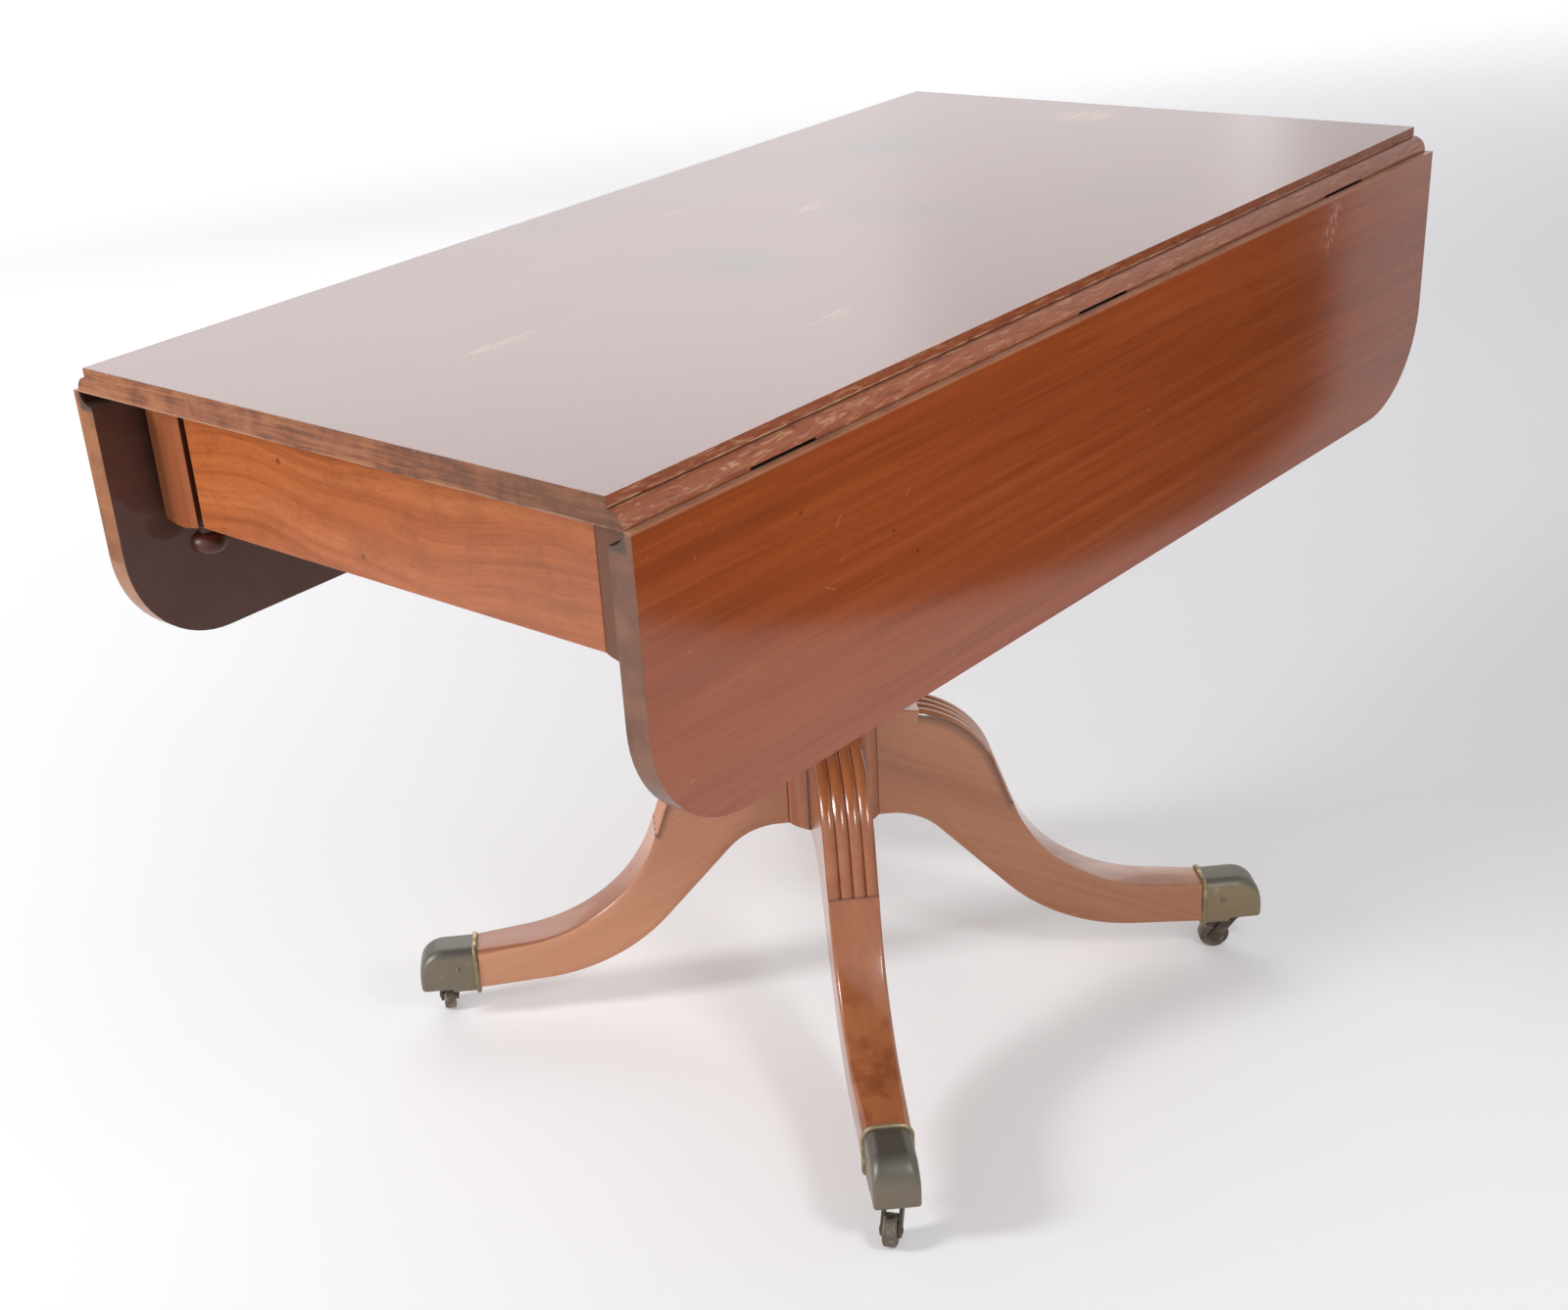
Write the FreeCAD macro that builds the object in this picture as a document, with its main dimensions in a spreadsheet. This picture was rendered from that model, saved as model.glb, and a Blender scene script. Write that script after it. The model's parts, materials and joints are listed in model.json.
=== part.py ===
import FreeCAD, Part
import Sketcher
import math
import os
import re

# A drop-leaf occasional table on a turned column with four reeded sabre legs.
# Millimetres, +Z up, origin on the floor under the middle of the table.
# +Y runs along the table, away from the drawer. +X points to the right leaf.

doc = FreeCAD.newDocument("drop_leaf_table")
V = FreeCAD.Vector
X_AXIS = V(1, 0, 0)
Y_AXIS = V(0, 1, 0)
Z_AXIS = V(0, 0, 1)

SIZES = (
    # whole table and fixed top board
    ("height", 720),
    ("top_width", 540),
    ("top_length", 1040),
    ("top_thick", 20),
    # rule joint: the ovolo's arc is centred on the hinge pin
    ("ovolo", 11.5),
    ("pin_rise", 1),
    ("cove_gap", 0.5),
    # leaves
    ("leaf_width", 222),
    ("leaf_corner", 86),
    # iron rule-joint hinges
    ("hinge_inset", 150),
    ("hinge_long", 64),
    ("hinge_gap", 0.4),
    ("knuckle_radius", 3.2),
    ("pin_radius", 1.5),
    ("pin_gap", 0.05),
    ("flap_thick", 1.6),
    ("top_flap", 28),
    ("leaf_flap", 46),
    ("knuckle_middle", 24),
    ("hinge_screw_head", 3.4),
    ("hinge_screw_shank", 1.6),
    ("hinge_screw_long", 13),
    ("hinge_screw_inset", 10),
    # frieze frame
    ("frame_inset", 10),
    ("end_inset", 40),
    ("frieze_depth", 110),
    ("block_side", 42),
    ("block_drop", 8),
    ("block_dome", 60),
    ("rail_thick", 20),
    ("facing_thick", 20),
    ("end_rail_thick", 22),
    ("tenon_thick", 8),
    ("tenon_long", 18),
    ("tenon_shoulder", 14),
    # turned bun finial under each corner block
    ("bun_radius", 14.75),
    ("bun_tall", 17),
    ("bun_neck", 7),
    ("bun_neck_tall", 6.5),
    ("bun_peg", 6),
    ("bun_peg_long", 15),
    # fly brackets with wooden knuckle joints
    ("bracket_inset", 390),
    ("bracket_long", 190),
    ("bracket_gap", 0.4),
    ("bracket_end_gap", 1.5),
    ("bracket_top_gap", 0.3),
    ("bracket_pin", 2.5),
    ("bracket_cut", 42),
    ("finger_radius", 16),
    # bearers that carry the frame on the column
    ("bearer_wide", 40),
    ("bearer_tall", 45),
    ("pillar_wide", 150),
    ("pillar_long", 100),
    # drawer
    ("drawer_left_gap", 6.5),
    ("drawer_right_gap", 0.5),
    ("drawer_top_gap", 0.6),
    ("drawer_front_thick", 20),
    ("drawer_lap", 8),
    ("drawer_side_thick", 9),
    ("drawer_side_low", 11),
    ("drawer_side_tall", 88),
    ("drawer_bottom_thick", 5),
    ("drawer_bottom_rise", 5),
    ("drawer_groove", 4),
    ("drawer_back_drop", 4),
    ("drawer_run_gap", 0.3),
    ("runner_wide", 22),
    ("runner_thick", 8),
    ("guide_tall", 12),
    ("guide_gap", 0.4),
    ("kicker_wide", 16),
    ("kicker_gap", 0.3),
    # pocket screws that hold the top
    ("pocket_wide", 14),
    ("pocket_deep", 11),
    ("pocket_tall", 22),
    ("pocket_drop", 28),
    ("top_screw_head", 4),
    ("top_screw_shank", 2.2),
    ("top_screw_bite", 12),
    ("top_screw_inset", 60),
    # sabre legs, drawn from the castor's mouth inwards
    ("leg_reach", 345),
    ("foot_tall", 40),
    ("foot_wide", 41),
    ("root_wide", 47),
    ("leg_root", 30),
    ("top_toe_slope", 6),
    ("top_toe_run", 46.9),
    ("top_sweep", 160),
    ("top_slope", 70),
    ("top_run", 45),
    ("top_knee", 95),
    ("under_toe_slope", 4),
    ("under_toe_run", 64.2),
    ("under_sweep", 183),
    ("under_slope", 47),
    ("under_run", 91.6),
    ("under_arch", 65),
    ("dovetail_deep", 14),
    ("dovetail_neck", 12),
    ("dovetail_tail", 18),
    ("dovetail_shoulder", 8),
    # reeds on the knee
    ("reed_start_slope", 12),
    ("reed_deep", 2.6),
    ("reed_step", 1.2),
    ("reed_sunk", 0.15),
    ("reed_pitch", 11.1),
    # turned column
    ("column_radius", 48),
    ("column_tenon", 20),
    ("column_tenon_tall", 42),
    ("drum_cap", 6),
    ("neck_radius", 27),
    ("neck_share", 0.0746),
    ("neck_bow_share", 0.73),
    ("vase_radius", 45),
    ("vase_share", 0.2373),
    ("belly_bow_share", 0.78),
    ("shoulder_bow_share", 1.516),
    ("vase_waist", 33),
    ("waist_share", 0.4),
    ("waist_bow_share", 2.563),
    ("vase_neck", 21),
    ("ring_share", 0.6882),
    ("ring_radius", 29),
    ("ring_tall", 12),
    ("flare_radius", 52),
    ("flare_bow_share", 0.888),
    ("flare_drop", 20),
    # iron plate under the legs
    ("plate_thick", 2.5),
    ("plate_radius", 26),
    ("plate_arm_wide", 16),
    ("plate_arm_long", 66),
    ("plate_screw_head", 3.6),
    ("plate_screw_shank", 1.9),
    ("plate_screw_long", 16),
    ("plate_screw_inset", 9),
    # brass box castors
    ("castor_rise", 36.5),
    ("cup_long", 57),
    ("cup_tall", 45),
    ("cup_wide", 39),
    ("cup_wall", 2.5),
    ("cup_toe", 20),
    ("cup_edge", 2.4),
    ("cup_step", 3),
    ("cup_step_at", 27),
    ("rim_long", 4.5),
    ("rim_proud", 2.7),
    ("rim_edge", 1.6),
    ("tenon_gap", 0.2),
    ("cup_screw_at", 20),
    ("cup_screw_head", 3.2),
    ("cup_screw_long", 12),
    ("swivel_back", 23),
    ("swivel_gap", 0.3),
    ("swivel_radius", 9.5),
    ("pintle_radius", 4),
    ("pintle_tall", 14),
    ("pintle_gap", 0.05),
    ("horn_plate", 3.5),
    ("horn_cheek", 2.6),
    ("horn_eye", 6),
    ("horn_throat", 1),
    ("trail", 16),
    ("wheel_radius", 14),
    ("wheel_wide", 11),
    ("wheel_edge", 1.8),
    ("wheel_side_gap", 0.5),
    ("axle_radius", 2.6),
    ("axle_proud", 1),
    # overrun of every cut
    ("overrun", 2),
)

sheet = doc.addObject("Spreadsheet::Sheet", "Sizes")
for row, (alias, number) in enumerate(SIZES, start=1):
    sheet.set("A%d" % row, alias)
    sheet.set("B%d" % row, str(number))
    sheet.setAlias("B%d" % row, alias)
doc.recompute()

ALIASES = {alias for alias, number in SIZES}
WORD = re.compile(r"[a-z_][a-z_0-9]*")


def sized(text):
    """Turn a sum of size names into an expression that reads the sheet."""
    return WORD.sub(lambda found: "Sizes." + found.group() if found.group() in ALIASES else found.group(), text)


def number(text):
    """Work out a sum of size names now, for shapes that Part's own functions make."""
    return float(sheet.evalExpression(sized(text)))


def bind(piece, **sizes):
    for name, text in sizes.items():
        piece.setExpression(name, sized(text))


def place(piece, x="0", y="0", z="0"):
    piece.setExpression("Placement.Base.x", sized(x))
    piece.setExpression("Placement.Base.y", sized(y))
    piece.setExpression("Placement.Base.z", sized(z))


def turn(piece, axis, degrees):
    piece.Placement = FreeCAD.Placement(V(0, 0, 0), FreeCAD.Rotation(axis, degrees))


def box(name, xs, ys, zs, side=1):
    """A box between two sums on each axis. side -1 mirrors it across the table."""
    if side < 0:
        xs = ("-(%s)" % xs[1], "-(%s)" % xs[0])
    piece = doc.addObject("Part::Box", name)
    bind(piece, Length="%s - (%s)" % (xs[1], xs[0]))
    bind(piece, Width="%s - (%s)" % (ys[1], ys[0]))
    bind(piece, Height="%s - (%s)" % (zs[1], zs[0]))
    place(piece, xs[0], ys[0], zs[0])
    return piece


def rod(name, radius, long, x, y, z, axis="Z"):
    """A cylinder that starts at the point and runs along one axis."""
    piece = doc.addObject("Part::Cylinder", name)
    bind(piece, Radius=radius, Height=long)
    if axis == "Y":
        turn(piece, X_AXIS, -90)
    if axis == "X":
        turn(piece, Y_AXIS, 90)
    place(piece, x, y, z)
    return piece


def join(name, pieces):
    piece = doc.addObject("Part::MultiFuse", name)
    piece.Shapes = pieces
    piece.Refine = True
    return piece


def group(name, pieces):
    piece = doc.addObject("Part::Compound", name)
    piece.Links = pieces
    return piece


def cut(name, base, tools):
    tool = tools[0]
    if len(tools) > 1:
        tool = group(name + "_tools", tools)
    piece = doc.addObject("Part::Cut", name)
    piece.Base = base
    piece.Tool = tool
    return piece


def common(name, base, tool):
    piece = doc.addObject("Part::Common", name)
    piece.Base = base
    piece.Tool = tool
    return piece


def sketch(body, role, outline):
    """A closed sketch. A corner is (x, y), or (x, y, radius, side) where an arc
    leaves it and bulges to the left or right of the way it runs."""
    drawing = body.newObject("Sketcher::SketchObject", body.Name + "_outline")
    planes = {feature.Role: feature for feature in body.Origin.OriginFeatures}
    drawing.AttachmentSupport = [(planes[role], "")]
    drawing.MapMode = "FlatFace"
    points = [V(number(corner[0]), number(corner[1]), 0) for corner in outline]
    ends = []
    for index, corner in enumerate(outline):
        start = points[index]
        stop = points[(index + 1) % len(points)]
        if len(corner) == 2:
            drawing.addGeometry(Part.LineSegment(start, stop), False)
            ends.append((1, 2))
            continue
        radius = number(corner[2])
        chord = stop - start
        rise = math.sqrt(max(radius ** 2 - chord.Length ** 2 / 4, 0))
        left = V(-chord.y, chord.x, 0) / chord.Length
        clockwise = corner[3] == "left"
        centre = (start + stop) / 2 - left * rise * (1 if clockwise else -1)
        first, last = (stop, start) if clockwise else (start, stop)
        angles = [math.atan2(point.y - centre.y, point.x - centre.x) for point in (first, last)]
        if angles[1] < angles[0]:
            angles[1] += 2 * math.pi
        circle = Part.Circle(centre, Z_AXIS, radius)
        drawing.addGeometry(Part.ArcOfCircle(circle, angles[0], angles[1]), False)
        ends.append((2, 1) if clockwise else (1, 2))
    for index, corner in enumerate(outline):
        previous = index - 1 if index else len(outline) - 1
        drawing.addConstraint(Sketcher.Constraint("Coincident", previous, ends[previous][1], index, ends[index][0]))
        for kind, axis, text, length in (("DistanceX", -2, corner[0], points[index].x),
                                         ("DistanceY", -1, corner[1], points[index].y)):
            if text == "0":
                drawing.addConstraint(Sketcher.Constraint("PointOnObject", index, ends[index][0], axis))
                continue
            added = drawing.addConstraint(Sketcher.Constraint(kind, -1, 1, index, ends[index][0], length))
            drawing.setExpression("Constraints[%d]" % added, sized(text))
    for index, corner in enumerate(outline):
        if len(corner) > 2:
            added = drawing.addConstraint(Sketcher.Constraint("Radius", index, number(corner[2])))
            drawing.setExpression("Constraints[%d]" % added, sized(corner[2]))
    return drawing


def padded(name, role, outline, thick):
    """A body padded both ways from its plane."""
    body = doc.addObject("PartDesign::Body", name)
    drawing = sketch(body, role, outline)
    pad = body.newObject("PartDesign::Pad", name + "_pad")
    pad.Profile = drawing
    pad.SideType = "Symmetric"
    bind(pad, Length=thick)
    return body


def turned(name, outline):
    """A body turned about the vertical axis from an outline in its XZ plane."""
    body = doc.addObject("PartDesign::Body", name)
    drawing = sketch(body, "XZ_Plane", outline)
    spun = body.newObject("PartDesign::Revolution", name + "_turning")
    spun.Profile = drawing
    spun.ReferenceAxis = (drawing, ["V_Axis"])
    spun.Angle = 360
    return body


def rounded(body, edges_of, radius, name):
    """Round the chosen edges of a body's last feature."""
    doc.recompute()
    base = body.Tip
    chosen = ["Edge%d" % (index + 1) for index, edge in enumerate(base.Shape.Edges) if edges_of(edge)]
    fillet = body.newObject("PartDesign::Fillet", name)
    fillet.Base = (base, chosen)
    bind(fillet, Radius=radius)
    body.Tip = fillet
    return body


nodes = {}


def keep(label, piece):
    """Name a finished sub-part."""
    piece.Label = label
    nodes[label] = piece
    return piece


SIDES = ((1, "right"), (-1, "left"))
ENDS = ((-1, "front"), (1, "back"))

# Levels and lines that several pieces share, as sums of the sizes
UNDER_TOP = "height - top_thick"
PIN_LEVEL = "height - top_thick + pin_rise"
JOINT_LINE = "top_width / 2"
FRIEZE_FOOT = "height - top_thick - frieze_depth"
HALF_TOP = "top_length / 2"
FRAME_SIDE = "(top_width / 2 - frame_inset)"
FRAME_END = "(top_length / 2 - end_inset)"
BLOCK_IN_X = "(%s - block_side)" % FRAME_SIDE
BLOCK_IN_Y = "(top_length / 2 - end_inset - block_side)"
FACING_IN = "(%s - facing_thick)" % FRAME_SIDE
RAIL_IN = "(%s - rail_thick)" % FACING_IN
HINGE_STATIONS = (("front", "-(top_length / 2 - hinge_inset)"), ("middle", "0"),
                  ("back", "(top_length / 2 - hinge_inset)"))


# Rule-joint hinges: a short flap under the top, a long flap let into the leaf
def flap_screws(name, side, station, where):
    """Two countersunk screws that hold one flap."""
    screws = []
    for index, shift in enumerate(("- hinge_long / 2 + hinge_screw_inset", "+ hinge_long / 2 - hinge_screw_inset")):
        label = "%s_%d" % (name, index)
        head = doc.addObject("Part::Cone", label + "_head")
        bind(head, Radius1="hinge_screw_head", Radius2="hinge_screw_shank", Height="flap_thick")
        shank = doc.addObject("Part::Cylinder", label + "_shank")
        bind(shank, Radius="hinge_screw_shank", Height="hinge_screw_long")
        along = "%s %s" % (station, shift)
        if where == "top":
            line = "%s - top_flap * %s" % (JOINT_LINE, TOP_SCREW_SHARE)
            line = line if side > 0 else "-(%s)" % line
            place(head, line, along, UNDER_TOP)
            place(shank, line, along, UNDER_TOP + " + flap_thick")
        else:
            level = "%s - leaf_flap * %s" % (PIN_LEVEL, LEAF_SCREW_SHARE)
            face = "%s - pin_rise" % JOINT_LINE
            deep = "%s - pin_rise + flap_thick" % JOINT_LINE
            turn(head, Y_AXIS, 90 * side)
            turn(shank, Y_AXIS, 90 * side)
            place(head, face if side > 0 else "-(%s)" % face, along, level)
            place(shank, deep if side > 0 else "-(%s)" % deep, along, level)
        screws.append(join(label, [head, shank]))
    return screws


TOP_SCREW_SHARE = "0.55"
LEAF_SCREW_SHARE = "0.72"

top_flaps = []
hinge_pins = []
top_flap_screws = []
top_gains = []
leaf_flaps = {}
leaf_flap_screws = {}
leaf_gains = {}
for side, side_name in SIDES:
    leaf_flaps[side_name] = []
    leaf_flap_screws[side_name] = []
    leaf_gains[side_name] = []
    for station_name, station in HINGE_STATIONS:
        tag = "%s_%s" % (side_name, station_name)
        line = JOINT_LINE if side > 0 else "-%s" % JOINT_LINE
        near = "%s - hinge_long / 2" % station
        far = "%s + hinge_long / 2" % station
        mid_near = "%s - knuckle_middle / 2" % station
        mid_far = "%s + knuckle_middle / 2" % station
        clear = "(knuckle_radius + hinge_gap)"
        # the fixed flap with its two outer knuckles
        plate = box("top_flap_plate_" + tag, (JOINT_LINE + " - top_flap", JOINT_LINE + " - " + clear),
                    (near, far), (UNDER_TOP, UNDER_TOP + " + flap_thick"), side)
        parts = [plate]
        for end_name, start, stop in (("near", near, mid_near + " - hinge_gap / 2"),
                                      ("far", mid_far + " + hinge_gap / 2", far)):
            tongue = box("top_flap_tongue_%s_%s" % (tag, end_name), (JOINT_LINE + " - " + clear, JOINT_LINE),
                         (start, stop), (UNDER_TOP, UNDER_TOP + " + flap_thick"), side)
            knuckle = rod("top_knuckle_%s_%s" % (tag, end_name), "knuckle_radius",
                          "%s - (%s)" % (stop, start), line, start, PIN_LEVEL, "Y")
            parts += [tongue, knuckle]
        bore = rod("top_bore_" + tag, "pin_radius + pin_gap", "hinge_long + 2 * overrun",
                   line, near + " - overrun", PIN_LEVEL, "Y")
        screws = flap_screws("top_flap_screw_" + tag, side, station, "top")
        top_flap_screws += screws
        top_flaps.append(cut("top_flap_" + tag, join("top_flap_solid_" + tag, parts), [bore] + screws))
        hinge_pins.append(rod("hinge_pin_" + tag, "pin_radius", "hinge_long", line, near, PIN_LEVEL, "Y"))
        # the leaf's flap with the middle knuckle, hanging down from the pin
        face = (JOINT_LINE + " - pin_rise", JOINT_LINE + " - pin_rise + flap_thick")
        plate = box("leaf_flap_plate_" + tag, face, (near, far),
                    (PIN_LEVEL + " - leaf_flap", PIN_LEVEL + " - " + clear), side)
        tongue = box("leaf_flap_tongue_" + tag, face, (mid_near + " + hinge_gap / 2", mid_far + " - hinge_gap / 2"),
                     (PIN_LEVEL + " - " + clear, PIN_LEVEL), side)
        knuckle = rod("leaf_knuckle_" + tag, "knuckle_radius", "knuckle_middle - hinge_gap",
                      line, mid_near + " + hinge_gap / 2", PIN_LEVEL, "Y")
        bore = rod("leaf_bore_" + tag, "pin_radius + pin_gap", "hinge_long + 2 * overrun",
                   line, near + " - overrun", PIN_LEVEL, "Y")
        screws = flap_screws("leaf_flap_screw_" + tag, side, station, "leaf")
        leaf_flap_screws[side_name] += screws
        solid = join("leaf_flap_solid_" + tag, [plate, tongue, knuckle])
        leaf_flaps[side_name].append(cut("leaf_flap_" + tag, solid, [bore] + screws))
        # what the top and the leaf lose to the hinge
        top_gains.append(box("top_gain_" + tag, (JOINT_LINE + " - top_flap", JOINT_LINE), (near, far),
                             (UNDER_TOP + " - overrun", UNDER_TOP + " + flap_thick"), side))
        top_gains.append(box("ovolo_gain_" + tag, (JOINT_LINE, JOINT_LINE + " + ovolo + overrun"),
                             (near + " - hinge_gap", far + " + hinge_gap"),
                             (UNDER_TOP + " - overrun", UNDER_TOP + " + flap_thick + hinge_gap"), side))
        top_gains.append(rod("knuckle_gain_" + tag, clear, "hinge_long + 2 * hinge_gap", line,
                             near + " - hinge_gap", PIN_LEVEL, "Y"))
        leaf_gains[side_name].append(box("leaf_gain_" + tag, (JOINT_LINE + " - pin_rise - overrun", face[1]),
                                         (near, far), (PIN_LEVEL + " - leaf_flap", PIN_LEVEL), side))

# Fixed top board, drawn as its end section with an ovolo along both sides
OVOLO_SIDE = "top_width / 2 + ovolo"
top_section = [
    ("-(%s)" % OVOLO_SIDE, UNDER_TOP),
    (OVOLO_SIDE, UNDER_TOP),
    (OVOLO_SIDE, PIN_LEVEL, "ovolo", "right"),
    ("top_width / 2", PIN_LEVEL + " + ovolo"),
    ("top_width / 2", "height"),
    ("-top_width / 2", "height"),
    ("-top_width / 2", PIN_LEVEL + " + ovolo", "ovolo", "right"),
    ("-(%s)" % OVOLO_SIDE, PIN_LEVEL),
]
top_solid = padded("top_solid", "XZ_Plane", top_section, "top_length")
keep("top_board", cut("top_cut", top_solid, top_gains))

# Leaves, hanging. Each is a board with two round lower corners and a cove along the pin
LEAF_FOOT = "height - top_thick + pin_rise - leaf_width"
LEAF_HEAD = "height - top_thick + pin_rise - cove_gap"
leaf_outline = [
    ("-(top_length / 2 - leaf_corner)", LEAF_FOOT),
    ("top_length / 2 - leaf_corner", LEAF_FOOT, "leaf_corner", "right"),
    ("top_length / 2", LEAF_FOOT + " + leaf_corner"),
    ("top_length / 2", LEAF_HEAD),
    ("-top_length / 2", LEAF_HEAD),
    ("-top_length / 2", LEAF_FOOT + " + leaf_corner", "leaf_corner", "right"),
]
for side, side_name in SIDES:
    board = padded("leaf_board_" + side_name, "YZ_Plane", leaf_outline, "top_thick")
    middle = "top_width / 2 - pin_rise + top_thick / 2"
    place(board, middle if side > 0 else "-(%s)" % middle)
    cove = rod("leaf_cove_" + side_name, "ovolo + cove_gap", "top_length + 2 * overrun",
               JOINT_LINE if side > 0 else "-%s" % JOINT_LINE, "-(top_length / 2 + overrun)", PIN_LEVEL, "Y")
    keep("leaf_" + side_name, cut("leaf_cut_" + side_name, board, [cove] + leaf_gains[side_name]))
    keep("hinge_flaps_leaf_" + side_name, group("leaf_flap_group_" + side_name, leaf_flaps[side_name]))
    keep("hinge_screws_leaf_" + side_name, group("leaf_screw_group_" + side_name, leaf_flap_screws[side_name]))
keep("hinge_flaps_top", group("top_flap_group", top_flaps))
keep("hinge_screws_top", group("top_screw_group", top_flap_screws))
keep("hinge_pins", group("pin_group", hinge_pins))

# Corner blocks: square posts with a turned dome below and a pegged bun finial
bun_outline = [
    ("0", "0"),
    ("bun_radius - bun_tall / 2", "0", "bun_tall / 2", "right"),
    ("bun_radius", "bun_tall / 2", "bun_tall / 2", "right"),
    ("bun_radius - bun_tall / 2", "bun_tall"),
    ("bun_neck", "bun_tall"),
    ("bun_neck", "bun_tall + bun_neck_tall"),
    ("bun_peg", "bun_tall + bun_neck_tall"),
    ("bun_peg", "bun_tall + bun_neck_tall + bun_peg_long"),
    ("0", "bun_tall + bun_neck_tall + bun_peg_long"),
]
BLOCK_FOOT = FRIEZE_FOOT + " - block_drop"
MORTISE_LOW = FRIEZE_FOOT + " + tenon_shoulder"
MORTISE_HIGH = UNDER_TOP + " - tenon_shoulder"
RAIL_MIDDLE = "(%s - rail_thick / 2)" % FACING_IN
TENON_XS = (RAIL_MIDDLE + " - tenon_thick / 2", RAIL_MIDDLE + " + tenon_thick / 2")
END_MIDDLE = "(top_length / 2 - end_inset - end_rail_thick / 2)"
for side, side_name in SIDES:
    for end, end_name in ENDS:
        tag = "%s_%s" % (end_name, side_name)
        centre_x = "%d * (%s - block_side / 2)" % (side, FRAME_SIDE)
        centre_y = "%d * (top_length / 2 - end_inset - block_side / 2)" % end
        ys = (BLOCK_IN_Y, FRAME_END) if end > 0 else ("-" + FRAME_END, "-" + BLOCK_IN_Y)
        post = box("post_" + tag, (BLOCK_IN_X, FRAME_SIDE), ys, (FRIEZE_FOOT, UNDER_TOP), side)
        foot = box("post_foot_" + tag, (BLOCK_IN_X, FRAME_SIDE), ys, (BLOCK_FOOT, FRIEZE_FOOT), side)
        ball = doc.addObject("Part::Sphere", "post_ball_" + tag)
        bind(ball, Radius="block_dome")
        place(ball, centre_x, centre_y, BLOCK_FOOT + " + block_dome")
        dome = common("post_dome_" + tag, foot, ball)
        socket = rod("post_socket_" + tag, "bun_peg", "bun_peg_long + overrun", centre_x, centre_y,
                     BLOCK_FOOT + " - overrun")
        ys_in = ("%d * %s - tenon_long" % (end, BLOCK_IN_Y), "%d * %s + tenon_long" % (end, BLOCK_IN_Y))
        side_mortise = box("side_mortise_" + tag, TENON_XS, ys_in, (MORTISE_LOW, MORTISE_HIGH), side)
        tools = [socket, side_mortise]
        if end > 0:
            tools.append(box("end_mortise_" + tag, (BLOCK_IN_X + " - overrun", BLOCK_IN_X + " + tenon_long"),
                             (END_MIDDLE + " - tenon_thick / 2", END_MIDDLE + " + tenon_thick / 2"),
                             (MORTISE_LOW, MORTISE_HIGH), side))
        keep("corner_block_" + tag, cut("block_" + tag, join("block_solid_" + tag, [post, dome]), tools))
        bun = turned("bun_" + tag, bun_outline)
        place(bun, centre_x, centre_y, BLOCK_FOOT + " - bun_tall - bun_neck_tall")
        nodes["bun_" + tag] = bun
keep("bun_finials", group("bun_group", [nodes.pop("bun_%s_%s" % (end_name, side_name))
                                        for side, side_name in SIDES for end, end_name in ENDS]))

# Side rails, tenoned into the blocks, with pockets for the screws that hold the top
top_screws = []
POCKET_TOP = UNDER_TOP + " - pocket_drop"
for side, side_name in SIDES:
    rail = box("rail_" + side_name, (RAIL_IN, FACING_IN), ("-" + BLOCK_IN_Y, BLOCK_IN_Y),
               (FRIEZE_FOOT, UNDER_TOP), side)
    tenon = box("rail_tenon_" + side_name, TENON_XS,
                ("-(%s + tenon_long)" % BLOCK_IN_Y, "%s + tenon_long" % BLOCK_IN_Y),
                (MORTISE_LOW, MORTISE_HIGH), side)
    pockets = []
    for end, end_name in ENDS:
        tag = "%s_%s" % (end_name, side_name)
        along = "%d * (%s - top_screw_inset)" % (end, BLOCK_IN_Y)
        pockets.append(box("pocket_" + tag, (RAIL_IN + " - overrun", RAIL_IN + " + pocket_deep"),
                           (along + " - pocket_wide / 2", along + " + pocket_wide / 2"),
                           (POCKET_TOP + " - pocket_tall", POCKET_TOP), side))
        line = "%d * (%s + pocket_deep / 2)" % (side, RAIL_IN)
        shank = rod("top_shank_" + tag, "top_screw_shank", "pocket_drop + top_screw_bite", line, along, POCKET_TOP)
        head = rod("top_head_" + tag, "top_screw_head", "top_screw_shank", line, along,
                   POCKET_TOP + " - top_screw_shank")
        top_screws.append(join("top_screw_" + tag, [head, shank]))
        pockets.append(rod("top_screw_way_" + tag, "top_screw_shank", "pocket_drop + overrun", line, along,
                           POCKET_TOP))
    rail_solid = join("side_rail_solid_" + side_name, [rail, tenon])
    keep("side_rail_" + side_name, cut("side_rail_cut_" + side_name, rail_solid, pockets))
keep("top_screws", group("top_screws_group", top_screws))

# Far end rail
end_board = box("end_board", ("-" + BLOCK_IN_X, BLOCK_IN_X), (FRAME_END + " - end_rail_thick", FRAME_END),
                (FRIEZE_FOOT, UNDER_TOP))
end_tenon = box("end_tenon", ("-(%s + tenon_long)" % BLOCK_IN_X, "%s + tenon_long" % BLOCK_IN_X),
                (END_MIDDLE + " - tenon_thick / 2", END_MIDDLE + " + tenon_thick / 2"), (MORTISE_LOW, MORTISE_HIGH))
keep("end_rail", join("end_rail_solid", [end_board, end_tenon]))

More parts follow.
